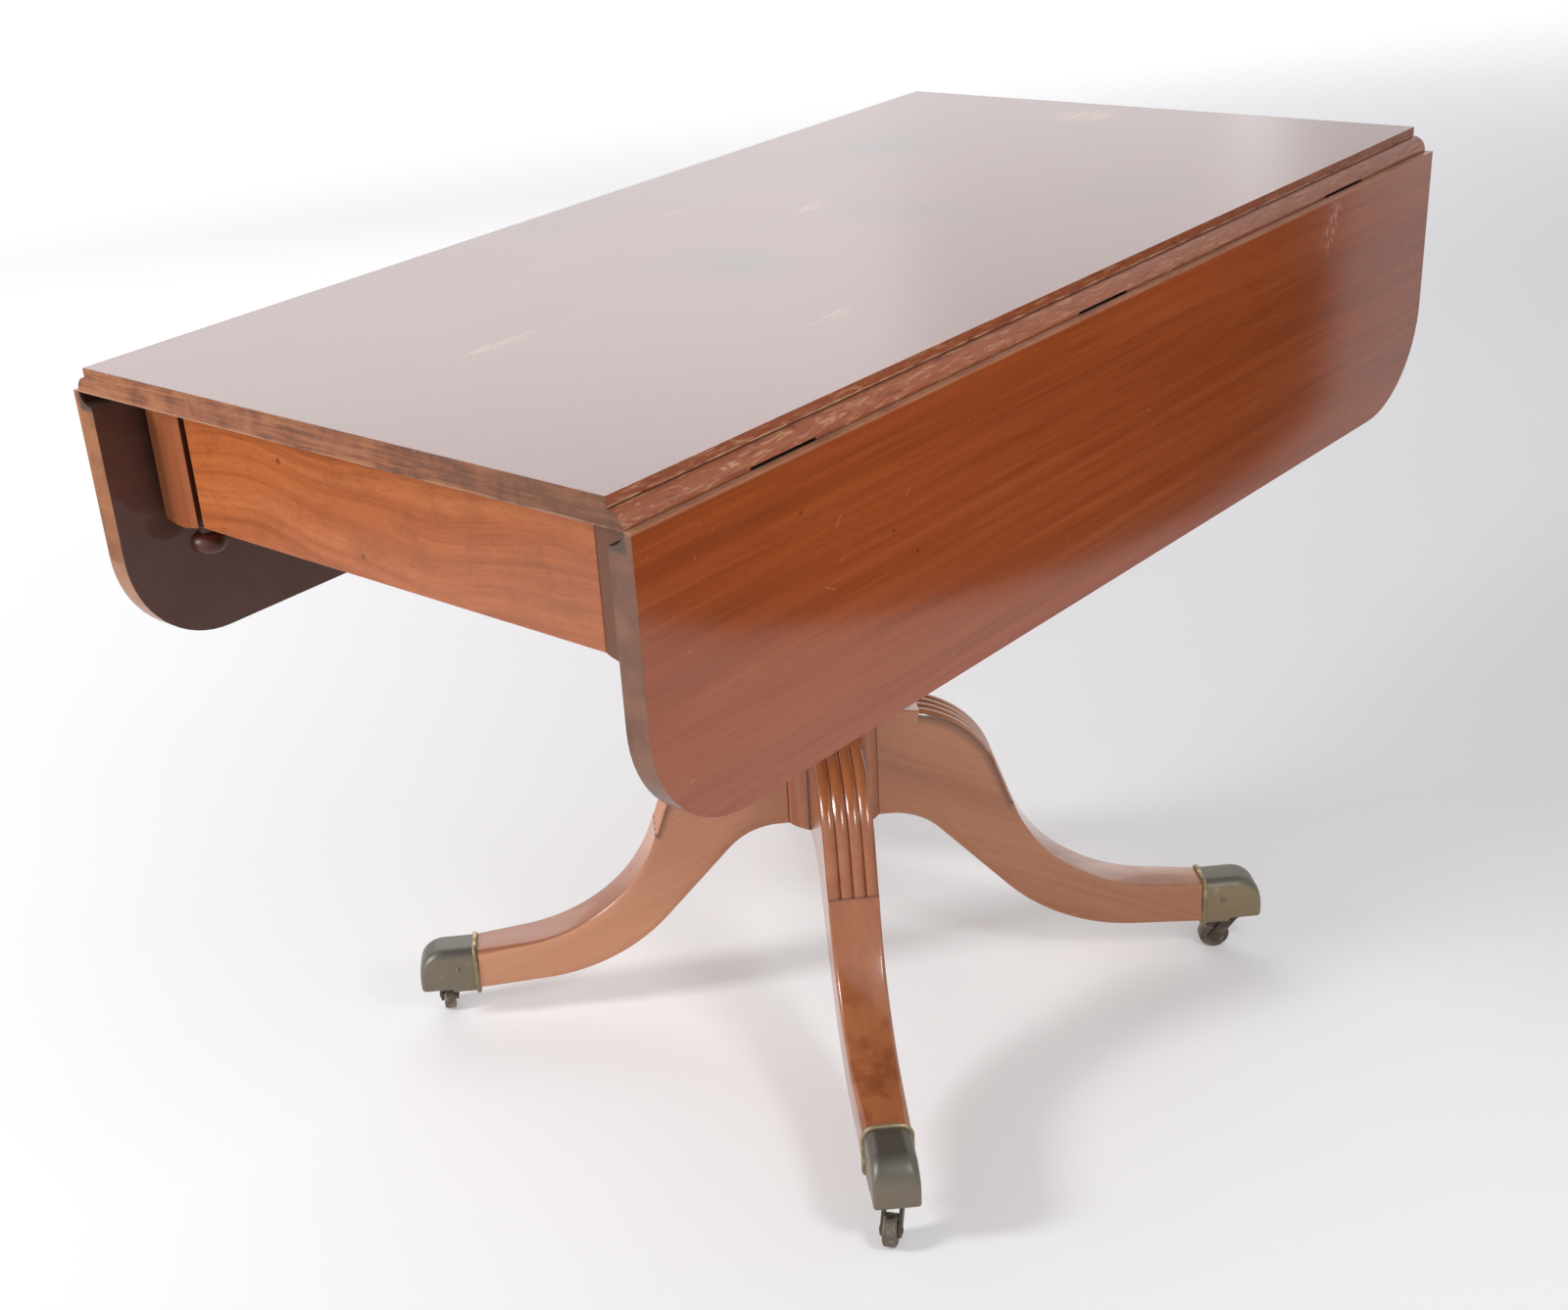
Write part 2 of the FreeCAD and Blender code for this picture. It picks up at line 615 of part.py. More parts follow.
# Facings: the outer half of each side, with a fly bracket hinged on either side of its middle
bracket_pins = []
KNUCKLES = 5
HINGE_LINE = "(%s - facing_thick / 2)" % FRAME_SIDE
BRACKET_PIVOT = "(top_length / 2 - bracket_inset)"
BRACKET_TOP = "(height - top_thick - bracket_top_gap)"
BRACKET_FOOT = FRIEZE_FOOT
KNUCKLE_TALL = "((frieze_depth - bracket_top_gap) / %d)" % KNUCKLES
for side, side_name in SIDES:
    line = "%d * %s" % (side, HINGE_LINE)
    middle = [box("facing_middle_" + side_name, (FACING_IN, FRAME_SIDE), ("-" + BRACKET_PIVOT, BRACKET_PIVOT),
                  (FRIEZE_FOOT, UNDER_TOP), side)]
    middle_tools = []
    stubs = []
    for end, end_name in ENDS:
        tag = "%s_%s" % (end_name, side_name)
        pivot = "%d * %s" % (end, BRACKET_PIVOT)
        free = "(%s + bracket_long)" % BRACKET_PIVOT
        middle.append(rod("fixed_barrel_" + tag, "facing_thick / 2", "frieze_depth", line, pivot, FRIEZE_FOOT))
        arm_ys = (BRACKET_PIVOT, free) if end > 0 else ("-" + free, "-" + BRACKET_PIVOT)
        arm = box("bracket_arm_" + tag, (FACING_IN, FRAME_SIDE), arm_ys, (BRACKET_FOOT, BRACKET_TOP), side)
        barrel = rod("bracket_barrel_" + tag, "facing_thick / 2", "frieze_depth - bracket_top_gap",
                     line, pivot, BRACKET_FOOT)
        bracket_tools = []
        for level in range(KNUCKLES):
            fixed = level % 2 == 0
            low = "%s + %d * %s" % (FRIEZE_FOOT, level, KNUCKLE_TALL)
            high = "%s + %d * %s" % (FRIEZE_FOOT, level + 1, KNUCKLE_TALL)
            low = low + " - overrun" if level == 0 else low + " - bracket_gap / 2"
            high = high + " + overrun" if level == KNUCKLES - 1 else high + " + bracket_gap / 2"
            scoop = rod("scoop_%s_%d" % (tag, level), "facing_thick / 2 + bracket_gap", "%s - (%s)" % (high, low),
                        line, pivot, low)
            if fixed:
                bracket_tools.append(scoop)
            else:
                middle_tools.append(scoop)
        pin_way = rod("pin_way_" + tag, "bracket_pin + pin_gap", "frieze_depth + 2 * overrun", line, pivot,
                      FRIEZE_FOOT + " - overrun")
        bracket_tools.append(pin_way)
        middle_tools.append(pin_way)
        splay = doc.addObject("Part::Cylinder", "bracket_splay_" + tag)
        bind(splay, Radius="bracket_cut", Height="facing_thick + 2 * overrun")
        turn(splay, Y_AXIS, 90)
        foot_line = "-(%s + overrun)" % FRAME_SIDE if side < 0 else FACING_IN + " - overrun"
        place(splay, foot_line, "%d * %s" % (end, free), BRACKET_FOOT)
        finger = doc.addObject("Part::Cylinder", "bracket_finger_" + tag)
        bind(finger, Radius="finger_radius", Height="facing_thick + 2 * overrun")
        turn(finger, Y_AXIS, 90)
        place(finger, foot_line, "%d * (%s - bracket_cut - finger_radius)" % (end, free), BRACKET_FOOT)
        bracket_tools += [splay, finger]
        keep("fly_bracket_" + tag, cut("bracket_" + tag, join("bracket_solid_" + tag, [arm, barrel]), bracket_tools))
        bracket_pins.append(rod("bracket_pin_" + tag, "bracket_pin", "frieze_depth", line, pivot, FRIEZE_FOOT))
        stub_in = "(%s + bracket_end_gap)" % free
        stub_ys = (stub_in, BLOCK_IN_Y) if end > 0 else ("-" + BLOCK_IN_Y, "-" + stub_in)
        stubs.append(box("facing_stub_" + tag, (FACING_IN, FRAME_SIDE), stub_ys, (FRIEZE_FOOT, UNDER_TOP), side))
    middle_solid = cut("facing_centre_" + side_name, join("facing_joined_" + side_name, middle), middle_tools)
    keep("side_facing_" + side_name, group("facing_group_" + side_name, [middle_solid] + stubs))
keep("bracket_pins", group("bracket_pin_group", bracket_pins))

# Bearers across the frame and the block between them that takes the column
bearers = []
BEARER_TOP = FRIEZE_FOOT + " + bearer_tall"
for end, end_name in ENDS:
    ys = ("pillar_long / 2", "pillar_long / 2 + bearer_wide")
    if end < 0:
        ys = ("-(pillar_long / 2 + bearer_wide)", "-pillar_long / 2")
    bearers.append(box("bearer_" + end_name, ("-" + RAIL_IN, RAIL_IN), ys, (FRIEZE_FOOT, BEARER_TOP)))
keep("cross_bearers", group("bearer_group", bearers))
pillar = box("pillar_solid", ("-pillar_wide / 2", "pillar_wide / 2"), ("-pillar_long / 2", "pillar_long / 2"),
             (FRIEZE_FOOT, BEARER_TOP))
pillar_hole = rod("pillar_hole", "column_tenon", "bearer_tall + 2 * overrun", "0", "0", FRIEZE_FOOT + " - overrun")
keep("pillar_block", cut("pillar_cut", pillar, [pillar_hole]))

# Drawer, a little narrower than its opening on the left
DRAWER_LEFT = "-(%s - drawer_left_gap)" % BLOCK_IN_X
DRAWER_RIGHT = "(%s - drawer_right_gap)" % BLOCK_IN_X
DRAWER_FACE = "-" + FRAME_END
DRAWER_TAIL = "-(pillar_long / 2 + bearer_wide + drawer_run_gap)"
SIDE_FOOT = FRIEZE_FOOT + " + drawer_side_low"
SIDE_HEAD = SIDE_FOOT + " + drawer_side_tall"
FLOOR_LOW = SIDE_FOOT + " + drawer_bottom_rise"
FLOOR_HIGH = FLOOR_LOW + " + drawer_bottom_thick"
LAP = "%s + drawer_front_thick - drawer_lap" % DRAWER_FACE


def drawer_floor(name):
    return box(name, (DRAWER_LEFT + " + drawer_side_thick - drawer_groove",
                      DRAWER_RIGHT + " - drawer_side_thick + drawer_groove"),
               (DRAWER_FACE + " + drawer_front_thick - drawer_groove", DRAWER_TAIL), (FLOOR_LOW, FLOOR_HIGH))


LEFT_SIDE = (DRAWER_LEFT, DRAWER_LEFT + " + drawer_side_thick")
RIGHT_SIDE = (DRAWER_RIGHT + " - drawer_side_thick", DRAWER_RIGHT)
front = box("drawer_front_board", (DRAWER_LEFT, DRAWER_RIGHT), (DRAWER_FACE, DRAWER_FACE + " + drawer_front_thick"),
            (FRIEZE_FOOT, UNDER_TOP + " - drawer_top_gap"))
front_tools = [box("drawer_front_" + name, xs, (LAP, DRAWER_FACE + " + drawer_front_thick + overrun"),
                   (SIDE_FOOT, SIDE_HEAD)) for name, xs in (("left_lap", LEFT_SIDE), ("right_lap", RIGHT_SIDE))]
front_tools.append(drawer_floor("drawer_front_groove"))
keep("drawer_front", cut("drawer_front_cut", front, front_tools))
for name, xs in (("left", LEFT_SIDE), ("right", RIGHT_SIDE)):
    board = box("drawer_board_" + name, xs, (LAP, DRAWER_TAIL), (SIDE_FOOT, SIDE_HEAD))
    keep("drawer_side_" + name, cut("drawer_side_cut_" + name, board, [drawer_floor("drawer_groove_" + name)]))
keep("drawer_back", box("drawer_back_board", (LEFT_SIDE[1], RIGHT_SIDE[0]), (DRAWER_TAIL + " - drawer_side_thick",
                                                                             DRAWER_TAIL),
                        (FLOOR_HIGH, SIDE_HEAD + " - drawer_back_drop")))
keep("drawer_bottom", drawer_floor("drawer_bottom_board"))

# Runners under the drawer's sides with a guide strip beside each, and kickers above
kickers = []
RUN_TAIL = "-(pillar_long / 2 + bearer_wide)"
RUN_TOP = SIDE_FOOT + " - drawer_run_gap"
for side, side_name in SIDES:
    runner = box("runner_" + side_name, (RAIL_IN + " - runner_wide", RAIL_IN), ("-" + BLOCK_IN_Y, RUN_TAIL),
                 (RUN_TOP + " - runner_thick", RUN_TOP), side)
    beside = DRAWER_RIGHT if side > 0 else "(%s - drawer_left_gap)" % BLOCK_IN_X
    guide = box("guide_" + side_name, (beside + " + guide_gap", RAIL_IN), ("-" + BLOCK_IN_Y, RUN_TAIL),
                (RUN_TOP, RUN_TOP + " + guide_tall"), side)
    keep("drawer_runner_" + side_name, join("runner_solid_" + side_name, [runner, guide]))
    kickers.append(box("kicker_" + side_name, (RAIL_IN + " - kicker_wide", RAIL_IN), ("-" + BLOCK_IN_Y, RUN_TAIL),
                       (SIDE_HEAD + " + kicker_gap", UNDER_TOP), side))
keep("drawer_kickers", group("kicker_group", kickers))

# Sabre legs. Their side view starts at the castor's mouth and climbs to the column
TURN = 45
REEDS = 4
CUP_FLOOR = "(castor_rise + cup_step + cup_wall)"
CUP_ROOF = "(castor_rise + cup_tall - cup_wall)"
FOOT_TOP = "(0.5 * (%s + %s) + foot_tall / 2)" % (CUP_FLOOR, CUP_ROOF)
FOOT_UNDER = "(0.5 * (%s + %s) - foot_tall / 2)" % (CUP_FLOOR, CUP_ROOF)
under = [("leg_reach", FOOT_UNDER)]
under.append(("(leg_reach - under_toe_run * cos(under_toe_slope))",
              "(%s + under_toe_run * sin(under_toe_slope))" % under[0][1]))
under.append(("(%s - under_sweep * (sin(under_slope) - sin(under_toe_slope)))" % under[1][0],
              "(%s + under_sweep * (cos(under_toe_slope) - cos(under_slope)))" % under[1][1]))
under.append(("(%s - under_run * cos(under_slope))" % under[2][0],
              "(%s + under_run * sin(under_slope))" % under[2][1]))
under.append(("(%s - under_arch * sin(under_slope))" % under[3][0],
              "(%s + under_arch * (1 - cos(under_slope)))" % under[3][1]))
over = [("leg_reach", FOOT_TOP)]
over.append(("(leg_reach - top_toe_run * cos(top_toe_slope))",
             "(%s + top_toe_run * sin(top_toe_slope))" % over[0][1]))
over.append(("(%s - top_sweep * (sin(top_slope) - sin(top_toe_slope)))" % over[1][0],
             "(%s + top_sweep * (cos(top_toe_slope) - cos(top_slope)))" % over[1][1]))
over.append(("(%s + reed_step * sin(top_slope))" % over[2][0],
             "(%s + reed_step * cos(top_slope))" % over[2][1]))
over.append(("(%s - top_run * cos(top_slope))" % over[3][0],
             "(%s + top_run * sin(top_slope))" % over[3][1]))
over.append(("(%s - top_knee * sin(top_slope))" % over[4][0],
             "(%s + top_knee * (1 - cos(top_slope)))" % over[4][1]))
ROOT_FOOT = under[4][1]
ROOT_HEAD = over[5][1]
leg_side = [under[0], under[1] + ("under_sweep", "left"), under[2], under[3] + ("under_arch", "right"), under[4],
            ("leg_root", ROOT_FOOT), ("leg_root", ROOT_HEAD), over[5] + ("top_knee", "left"), over[4], over[3],
            over[2] + ("top_sweep", "right"), over[1], over[0]]
leg_plan = [("leg_root", "-root_wide / 2"), ("leg_reach", "-foot_wide / 2"),
            ("leg_reach", "foot_wide / 2"), ("leg_root", "root_wide / 2")]
key_plan = [("column_radius - dovetail_deep", "-dovetail_tail / 2"), ("column_radius", "-dovetail_neck / 2"),
            ("column_radius + overrun", "-dovetail_neck / 2"), ("column_radius + overrun", "dovetail_neck / 2"),
            ("column_radius", "dovetail_neck / 2"), ("column_radius - dovetail_deep", "dovetail_tail / 2")]
KEY_TALL = "(%s - %s - 2 * dovetail_shoulder)" % (ROOT_HEAD, ROOT_FOOT)
KEY_MIDDLE = "(%s + %s) / 2" % (ROOT_HEAD, ROOT_FOOT)


def reed_cutter():
    """The waste between the reeds: a band along the knee less four round rods that follow it."""
    knee = V(number(over[5][0]), 0, number(ROOT_HEAD) - number("top_knee"))
    radius = number("top_knee")
    slope = math.radians(number("top_slope"))
    start = math.radians(number("reed_start_slope"))
    deep = number("2 * reed_deep")
    proud = number("overrun")
    half = number("root_wide / 2 + overrun")
    run = number("top_run")
    along = V(math.cos(slope), 0, -math.sin(slope))

    def at(angle, reach):
        return knee + V(math.sin(angle), 0, math.cos(angle)) * reach

    low = radius - deep
    high = radius + proud
    middle = (start + slope) / 2
    edges = [Part.Arc(at(start, low), at(middle, low), at(slope, low)).toShape(),
             Part.makeLine(at(slope, low), at(slope, low) + along * run),
             Part.makeLine(at(slope, low) + along * run, at(slope, high) + along * run),
             Part.makeLine(at(slope, high) + along * run, at(slope, high)),
             Part.Arc(at(slope, high), at(middle, high), at(start, high)).toShape(),
             Part.makeLine(at(start, high), at(start, low))]
    band = Part.Face(Part.Wire(edges))
    band.translate(V(0, -half, 0))
    band = band.extrude(V(0, 2 * half, 0))
    pitch = number("reed_pitch")
    dip = number("reed_deep")
    round_radius = (pitch ** 2 / 4 + dip ** 2) / (2 * dip)
    middle_reach = radius - number("reed_sunk") - round_radius
    rods = []
    for index in range(REEDS):
        across = V(0, (index - (REEDS - 1) / 2) * pitch, 0)
        heading = V(math.cos(start), 0, -math.sin(start))
        section = Part.Face(Part.Wire(Part.Circle(at(start, middle_reach) + across, heading, round_radius).toShape()))
        bend = section.revolve(knee + across, Y_AXIS, math.degrees(slope - start))
        end = Part.Face(Part.Wire(Part.Circle(at(slope, middle_reach) + across, along, round_radius).toShape()))
        rods.append(bend)
        rods.append(end.extrude(along * run))
    return band.cut(rods)


reed_waste = doc.addObject("Part::Feature", "reed_waste")
reed_waste.Shape = reed_cutter()
drum_room = rod("drum_room", "column_radius", "%s - %s + 2 * overrun" % (ROOT_HEAD, ROOT_FOOT), "0", "0",
                ROOT_FOOT + " - overrun")
leg_key = padded("leg_key", "XY_Plane", key_plan, KEY_TALL)
place(leg_key, "0", "0", KEY_MIDDLE)
leg_body = padded("leg_body", "XZ_Plane", leg_side, "root_wide + 2 * overrun")
leg_taper = padded("leg_taper", "XY_Plane", leg_plan, "2 * height")
leg_shaped = common("leg_shaped", leg_body, leg_taper)
arm_plan = [("0", "-plate_arm_wide / 2"), ("plate_arm_long", "-plate_arm_wide / 2"),
            ("plate_arm_long", "plate_arm_wide / 2"), ("0", "plate_arm_wide / 2")]
PLATE_MIDDLE = "%s - plate_thick / 2" % ROOT_FOOT
plate_arm = padded("plate_arm", "XY_Plane", arm_plan, "plate_thick")
place(plate_arm, "0", "0", PLATE_MIDDLE)
leg_coped = cut("leg_coped", leg_shaped, [drum_room, reed_waste, plate_arm])
CUP_HALF = "(cup_wide / 2 - cup_wall - tenon_gap)"
foot_tenon = box("foot_tenon", ("leg_reach - overrun", "leg_reach + cup_step_at"), ("-" + CUP_HALF, CUP_HALF),
                 (CUP_FLOOR + " + tenon_gap", CUP_ROOF + " - tenon_gap"))
LEGS = (("front_right", -TURN), ("front_left", -TURN * 3), ("back_right", TURN), ("back_left", TURN * 3))
for leg_name, angle in LEGS:
    leg = join("leg_joined_" + leg_name, [leg_coped, leg_key, foot_tenon])
    turn(leg, Z_AXIS, angle)
    keep("leg_" + leg_name, leg)

# Turned column: a plain drum that takes the legs, a vase, a ring and a flared head
DRUM_HEAD = ROOT_HEAD
TURNED_TALL = "(%s - %s)" % (FRIEZE_FOOT, ROOT_HEAD)


def level_at(share):
    """A level at a share of the turned height above the drum."""
    return "(%s + %s * %s)" % (ROOT_HEAD, share, TURNED_TALL)


def bowed(share, wide, tall):
    """The radius of an arc over a chord of this width and height, as a share of the chord."""
    return "%s * sqrt((%s)^2 + (%s)^2)" % (share, wide, tall)


NECK_LEVEL = level_at("neck_share")
VASE_LEVEL = level_at("vase_share")
WAIST_LEVEL = level_at("waist_share")
VASE_NECK_LEVEL = level_at("ring_share")
RING_LEVEL = "(%s + ring_tall)" % VASE_NECK_LEVEL
FLARE_LEVEL = "(%s - flare_drop)" % FRIEZE_FOOT
NECK_HOLLOW = bowed("neck_bow_share", "column_radius - drum_cap - neck_radius",
                    "neck_share * %s - drum_cap" % TURNED_TALL)
VASE_BELLY = bowed("belly_bow_share", "vase_radius - neck_radius", "(vase_share - neck_share) * %s" % TURNED_TALL)
VASE_SHOULDER = bowed("shoulder_bow_share", "vase_radius - vase_waist",
                      "(waist_share - vase_share) * %s" % TURNED_TALL)
VASE_HOLLOW = bowed("waist_bow_share", "vase_waist - vase_neck", "(ring_share - waist_share) * %s" % TURNED_TALL)
FLARE_HOLLOW = bowed("flare_bow_share", "flare_radius - vase_neck",
                     "(1 - ring_share) * %s - ring_tall - flare_drop" % TURNED_TALL)
column_outline = [
    ("0", ROOT_FOOT),
    ("column_radius", ROOT_FOOT),
    ("column_radius", DRUM_HEAD, "drum_cap", "right"),
    ("column_radius - drum_cap", DRUM_HEAD + " + drum_cap", NECK_HOLLOW, "left"),
    ("neck_radius", NECK_LEVEL, VASE_BELLY, "right"),
    ("vase_radius", VASE_LEVEL, VASE_SHOULDER, "right"),
    ("vase_waist", WAIST_LEVEL, VASE_HOLLOW, "left"),
    ("vase_neck", VASE_NECK_LEVEL),
    ("ring_radius - ring_tall / 2", VASE_NECK_LEVEL, "ring_tall / 2", "right"),
    ("ring_radius", VASE_NECK_LEVEL + " + ring_tall / 2", "ring_tall / 2", "right"),
    ("ring_radius - ring_tall / 2", RING_LEVEL),
    ("vase_neck", RING_LEVEL, FLARE_HOLLOW, "left"),
    ("flare_radius", FLARE_LEVEL),
    ("flare_radius", FRIEZE_FOOT),
    ("column_tenon", FRIEZE_FOOT),
    ("column_tenon", FRIEZE_FOOT + " + column_tenon_tall"),
    ("0", FRIEZE_FOOT + " + column_tenon_tall"),
]
column_turning = turned("column_turning", column_outline)
key_ways = []
for leg_name, angle in LEGS:
    way = padded("key_way_" + leg_name, "XY_Plane", key_plan, KEY_TALL)
    turn(way, Z_AXIS, angle)
    place(way, "0", "0", KEY_MIDDLE)
    key_ways.append(way)
keep("column", cut("column_cut", column_turning, key_ways))

# Iron plate under the drum with an arm screwed to each leg
plate_disc = rod("plate_disc", "plate_radius", "plate_thick", "0", "0", ROOT_FOOT + " - plate_thick")
plate_parts = [plate_disc]
plate_screws = []
for leg_name, angle in LEGS:
    arm = padded("plate_arm_" + leg_name, "XY_Plane", arm_plan, "plate_thick")
    turn(arm, Z_AXIS, angle)
    place(arm, "0", "0", PLATE_MIDDLE)
    plate_parts.append(arm)
    away = "(plate_arm_long - plate_screw_inset)"
    x = "%s * cos(%d)" % (away, angle)
    y = "%s * sin(%d)" % (away, angle)
    head = doc.addObject("Part::Cone", "plate_screw_head_" + leg_name)
    bind(head, Radius1="plate_screw_head", Radius2="plate_screw_shank", Height="plate_thick")
    place(head, x, y, ROOT_FOOT + " - plate_thick")
    shank = rod("plate_screw_shank_" + leg_name, "plate_screw_shank", "plate_screw_long", x, y, ROOT_FOOT)
    plate_screws.append(join("plate_screw_" + leg_name, [head, shank]))
keep("leg_plate", cut("plate_cut", join("plate_solid", plate_parts), plate_screws))
keep("leg_plate_screws", group("plate_screw_group", plate_screws))

# Brass box castors. The cup is drawn along the leg, the horn along its own trail
SWIVEL_AT = "(leg_reach + cup_long - swivel_back)"
CUP_END = "(leg_reach + cup_long)"
CUP_HEAD = "(castor_rise + cup_tall)"
cup_side = [
    ("leg_reach", "castor_rise"),
    ("leg_reach + cup_step_at", "castor_rise"),
    ("leg_reach + cup_step_at", "castor_rise + cup_step"),
    (CUP_END, "castor_rise + cup_step"),
    (CUP_END, CUP_HEAD + " - cup_toe", "cup_toe", "right"),
    (CUP_END + " - cup_toe", CUP_HEAD),
    ("leg_reach", CUP_HEAD),
]
cup_inside = [
    ("leg_reach - overrun", CUP_FLOOR),
    (CUP_END + " - cup_wall", CUP_FLOOR),
    (CUP_END + " - cup_wall", CUP_HEAD + " - cup_toe", "cup_toe - cup_wall", "right"),
    (CUP_END + " - cup_toe", CUP_ROOF),
    ("leg_reach - overrun", CUP_ROOF),
]
cup_body = padded("cup_body", "XZ_Plane", cup_side, "cup_wide")
half_cup = number("cup_wide / 2")
mouth = number("leg_reach")
low_edge = number("castor_rise + cup_step")
tiny = number("tenon_gap / cup_wide")


def soft_edge(edge):
    """The edges of the cup's two side faces above its floor, without the mouth."""
    box_of = edge.BoundBox
    on_side = abs(abs(box_of.YMin) - half_cup) < tiny and box_of.YLength < tiny
    return on_side and box_of.ZMax > low_edge + tiny and box_of.XMax > mouth + tiny and (
        box_of.ZLength > tiny or box_of.ZMin > low_edge + tiny) and box_of.XMin > mouth - tiny


rounded(cup_body, soft_edge, "cup_edge", "cup_rounding")
rim_body = box("rim_body", ("leg_reach", "leg_reach + rim_long"),
               ("-(cup_wide / 2 + rim_proud)", "cup_wide / 2 + rim_proud"),
               ("castor_rise - rim_proud", CUP_HEAD + " + rim_proud"))
rim_rounded = doc.addObject("Part::Fillet", "rim_rounded")
rim_rounded.Base = rim_body
doc.recompute()
rim_rounded.Edges = [(index + 1, number("rim_edge"), number("rim_edge"))
                     for index, edge in enumerate(rim_body.Shape.Edges) if edge.BoundBox.XMin > mouth + tiny]
swivel_boss = rod("swivel_boss", "swivel_radius", "cup_step + cup_wall / 2", SWIVEL_AT, "0", "castor_rise")
cavity = padded("cup_cavity", "XZ_Plane", cup_inside, "cup_wide - 2 * cup_wall")
pintle_way = rod("pintle_way", "pintle_radius + pintle_gap", "cup_step + 2 * cup_wall + overrun", SWIVEL_AT, "0",
                 "castor_rise - overrun")
screw_ways = []
SCREW_AT = "(leg_reach + cup_screw_at)"
SCREW_LEVEL = "(castor_rise + cup_step + cup_tall / 2)"


def cup_screws(tag):
    """A round-headed screw through each side of the cup into the foot."""
    screws = []
    for side, side_name in SIDES:
        label = "cup_screw_%s_%s" % (tag, side_name)
        head = doc.addObject("Part::Sphere", label + "_head")
        bind(head, Radius="cup_screw_head")
        place(head, SCREW_AT, "%d * (cup_wide / 2 - cup_screw_head / 2)" % side, SCREW_LEVEL)
        half = box(label + "_half", (SCREW_AT + " - cup_screw_head", SCREW_AT + " + cup_screw_head"),
                   (("cup_wide / 2", "cup_wide / 2 + cup_screw_head") if side > 0
                    else ("-(cup_wide / 2 + cup_screw_head)", "-cup_wide / 2")),
                   (SCREW_LEVEL + " - cup_screw_head", SCREW_LEVEL + " + cup_screw_head"))
        start = "cup_wide / 2 - cup_screw_long" if side > 0 else "-cup_wide / 2"
        shank = rod(label + "_shank", "plate_screw_shank", "cup_screw_long", SCREW_AT, start, SCREW_LEVEL, "Y")
        screws.append(join(label, [common(label + "_dome", head, half), shank]))
    return screws


cup_solid = join("cup_solid", [cup_body, rim_rounded, swivel_boss])
screw_tools = []
for side, side_name in SIDES:
    start = "cup_wide / 2 - cup_wall - overrun" if side > 0 else "-(cup_wide / 2 + overrun)"
    screw_tools.append(rod("screw_way_" + side_name, "plate_screw_shank", "cup_wall + 2 * overrun", SCREW_AT, start,
                           SCREW_LEVEL, "Y"))

# The horn: a swivel plate, a riveted pintle and two cheeks that hold the axle
HORN_TOP = "(castor_rise - swivel_gap)"
HORN_UNDER = "(castor_rise - swivel_gap - horn_plate)"
CHEEK_IN = "(wheel_wide / 2 + wheel_side_gap)"
horn_disc = rod("horn_disc", "swivel_radius", "horn_plate", "0", "0", HORN_UNDER)
pintle = rod("pintle", "pintle_radius", "%s + pintle_tall / 2 - %s" % (CUP_FLOOR, HORN_TOP), "0", "0", HORN_TOP)
rivet_head = rod("rivet_head", "pintle_radius + cup_wall / 2", "cup_wall", "0", "0",
                 CUP_FLOOR + " + swivel_gap")
cheek_side = [
    ("-pintle_radius", HORN_TOP),
    ("-pintle_radius", HORN_UNDER),
    ("trail - horn_eye", "wheel_radius", "horn_eye", "right"),
    ("trail", "wheel_radius - horn_eye", "horn_eye", "right"),
    ("trail + horn_eye", "wheel_radius"),
    ("swivel_radius - horn_throat", HORN_UNDER),
    ("pintle_radius", HORN_TOP),
]
cheeks = []
for side, side_name in SIDES:
    cheek = padded("cheek_" + side_name, "XZ_Plane", cheek_side, "horn_cheek")
    place(cheek, "0", "%d * (%s + horn_cheek / 2)" % (side, CHEEK_IN))
    cheeks.append(cheek)
axle_way = rod("axle_way", "axle_radius", "2 * swivel_radius + 2 * overrun", "trail",
               "-(swivel_radius + overrun)", "wheel_radius", "Y")
horn_solid = cut("horn_solid", join("horn_parts", [horn_disc, pintle, rivet_head] + cheeks), [axle_way])
AXLE_HALF = "(%s + horn_cheek + axle_proud)" % CHEEK_IN
wheel_disc = rod("wheel_disc", "wheel_radius", "wheel_wide", "trail", "-wheel_wide / 2", "wheel_radius", "Y")
wheel_round = doc.addObject("Part::Fillet", "wheel_round")
wheel_round.Base = wheel_disc
doc.recompute()
wheel_round.Edges = [(index + 1, number("wheel_edge"), number("wheel_edge"))
                     for index, edge in enumerate(wheel_disc.Shape.Edges) if edge.BoundBox.YLength < tiny]
wheel_bore = rod("wheel_bore", "axle_radius + pin_gap", "wheel_wide + 2 * overrun", "trail",
                 "-(wheel_wide / 2 + overrun)", "wheel_radius", "Y")
TRAILS = {"front_right": -64, "front_left": 140, "back_right": -139, "back_left": 100}
all_cup_screws = []
for leg_name, angle in LEGS:
    cup = cut("cup_" + leg_name, cup_solid, [cavity, pintle_way] + screw_tools)
    turn(cup, Z_AXIS, angle)
    keep("castor_cup_" + leg_name, cup)
    screws = group("cup_screw_pair_" + leg_name, cup_screws(leg_name))
    turn(screws, Z_AXIS, angle)
    all_cup_screws.append(screws)
    x = "%s * cos(%d)" % (SWIVEL_AT, angle)
    y = "%s * sin(%d)" % (SWIVEL_AT, angle)
    trail_angle = TRAILS[leg_name]
    horn = group("horn_" + leg_name, [horn_solid])
    axle = rod("axle_" + leg_name, "axle_radius", "2 * " + AXLE_HALF, "trail", "-" + AXLE_HALF, "wheel_radius", "Y")
    wheel = cut("wheel_" + leg_name, wheel_round, [wheel_bore])
    for label, piece in (("castor_horn_", horn), ("castor_axle_", group("axle_group_" + leg_name, [axle])),
                         ("castor_wheel_", wheel)):
        turn(piece, Z_AXIS, trail_angle)
        place(piece, x, y)
        keep(label + leg_name, piece)
keep("castor_cup_screws", group("cup_screw_group", all_cup_screws))

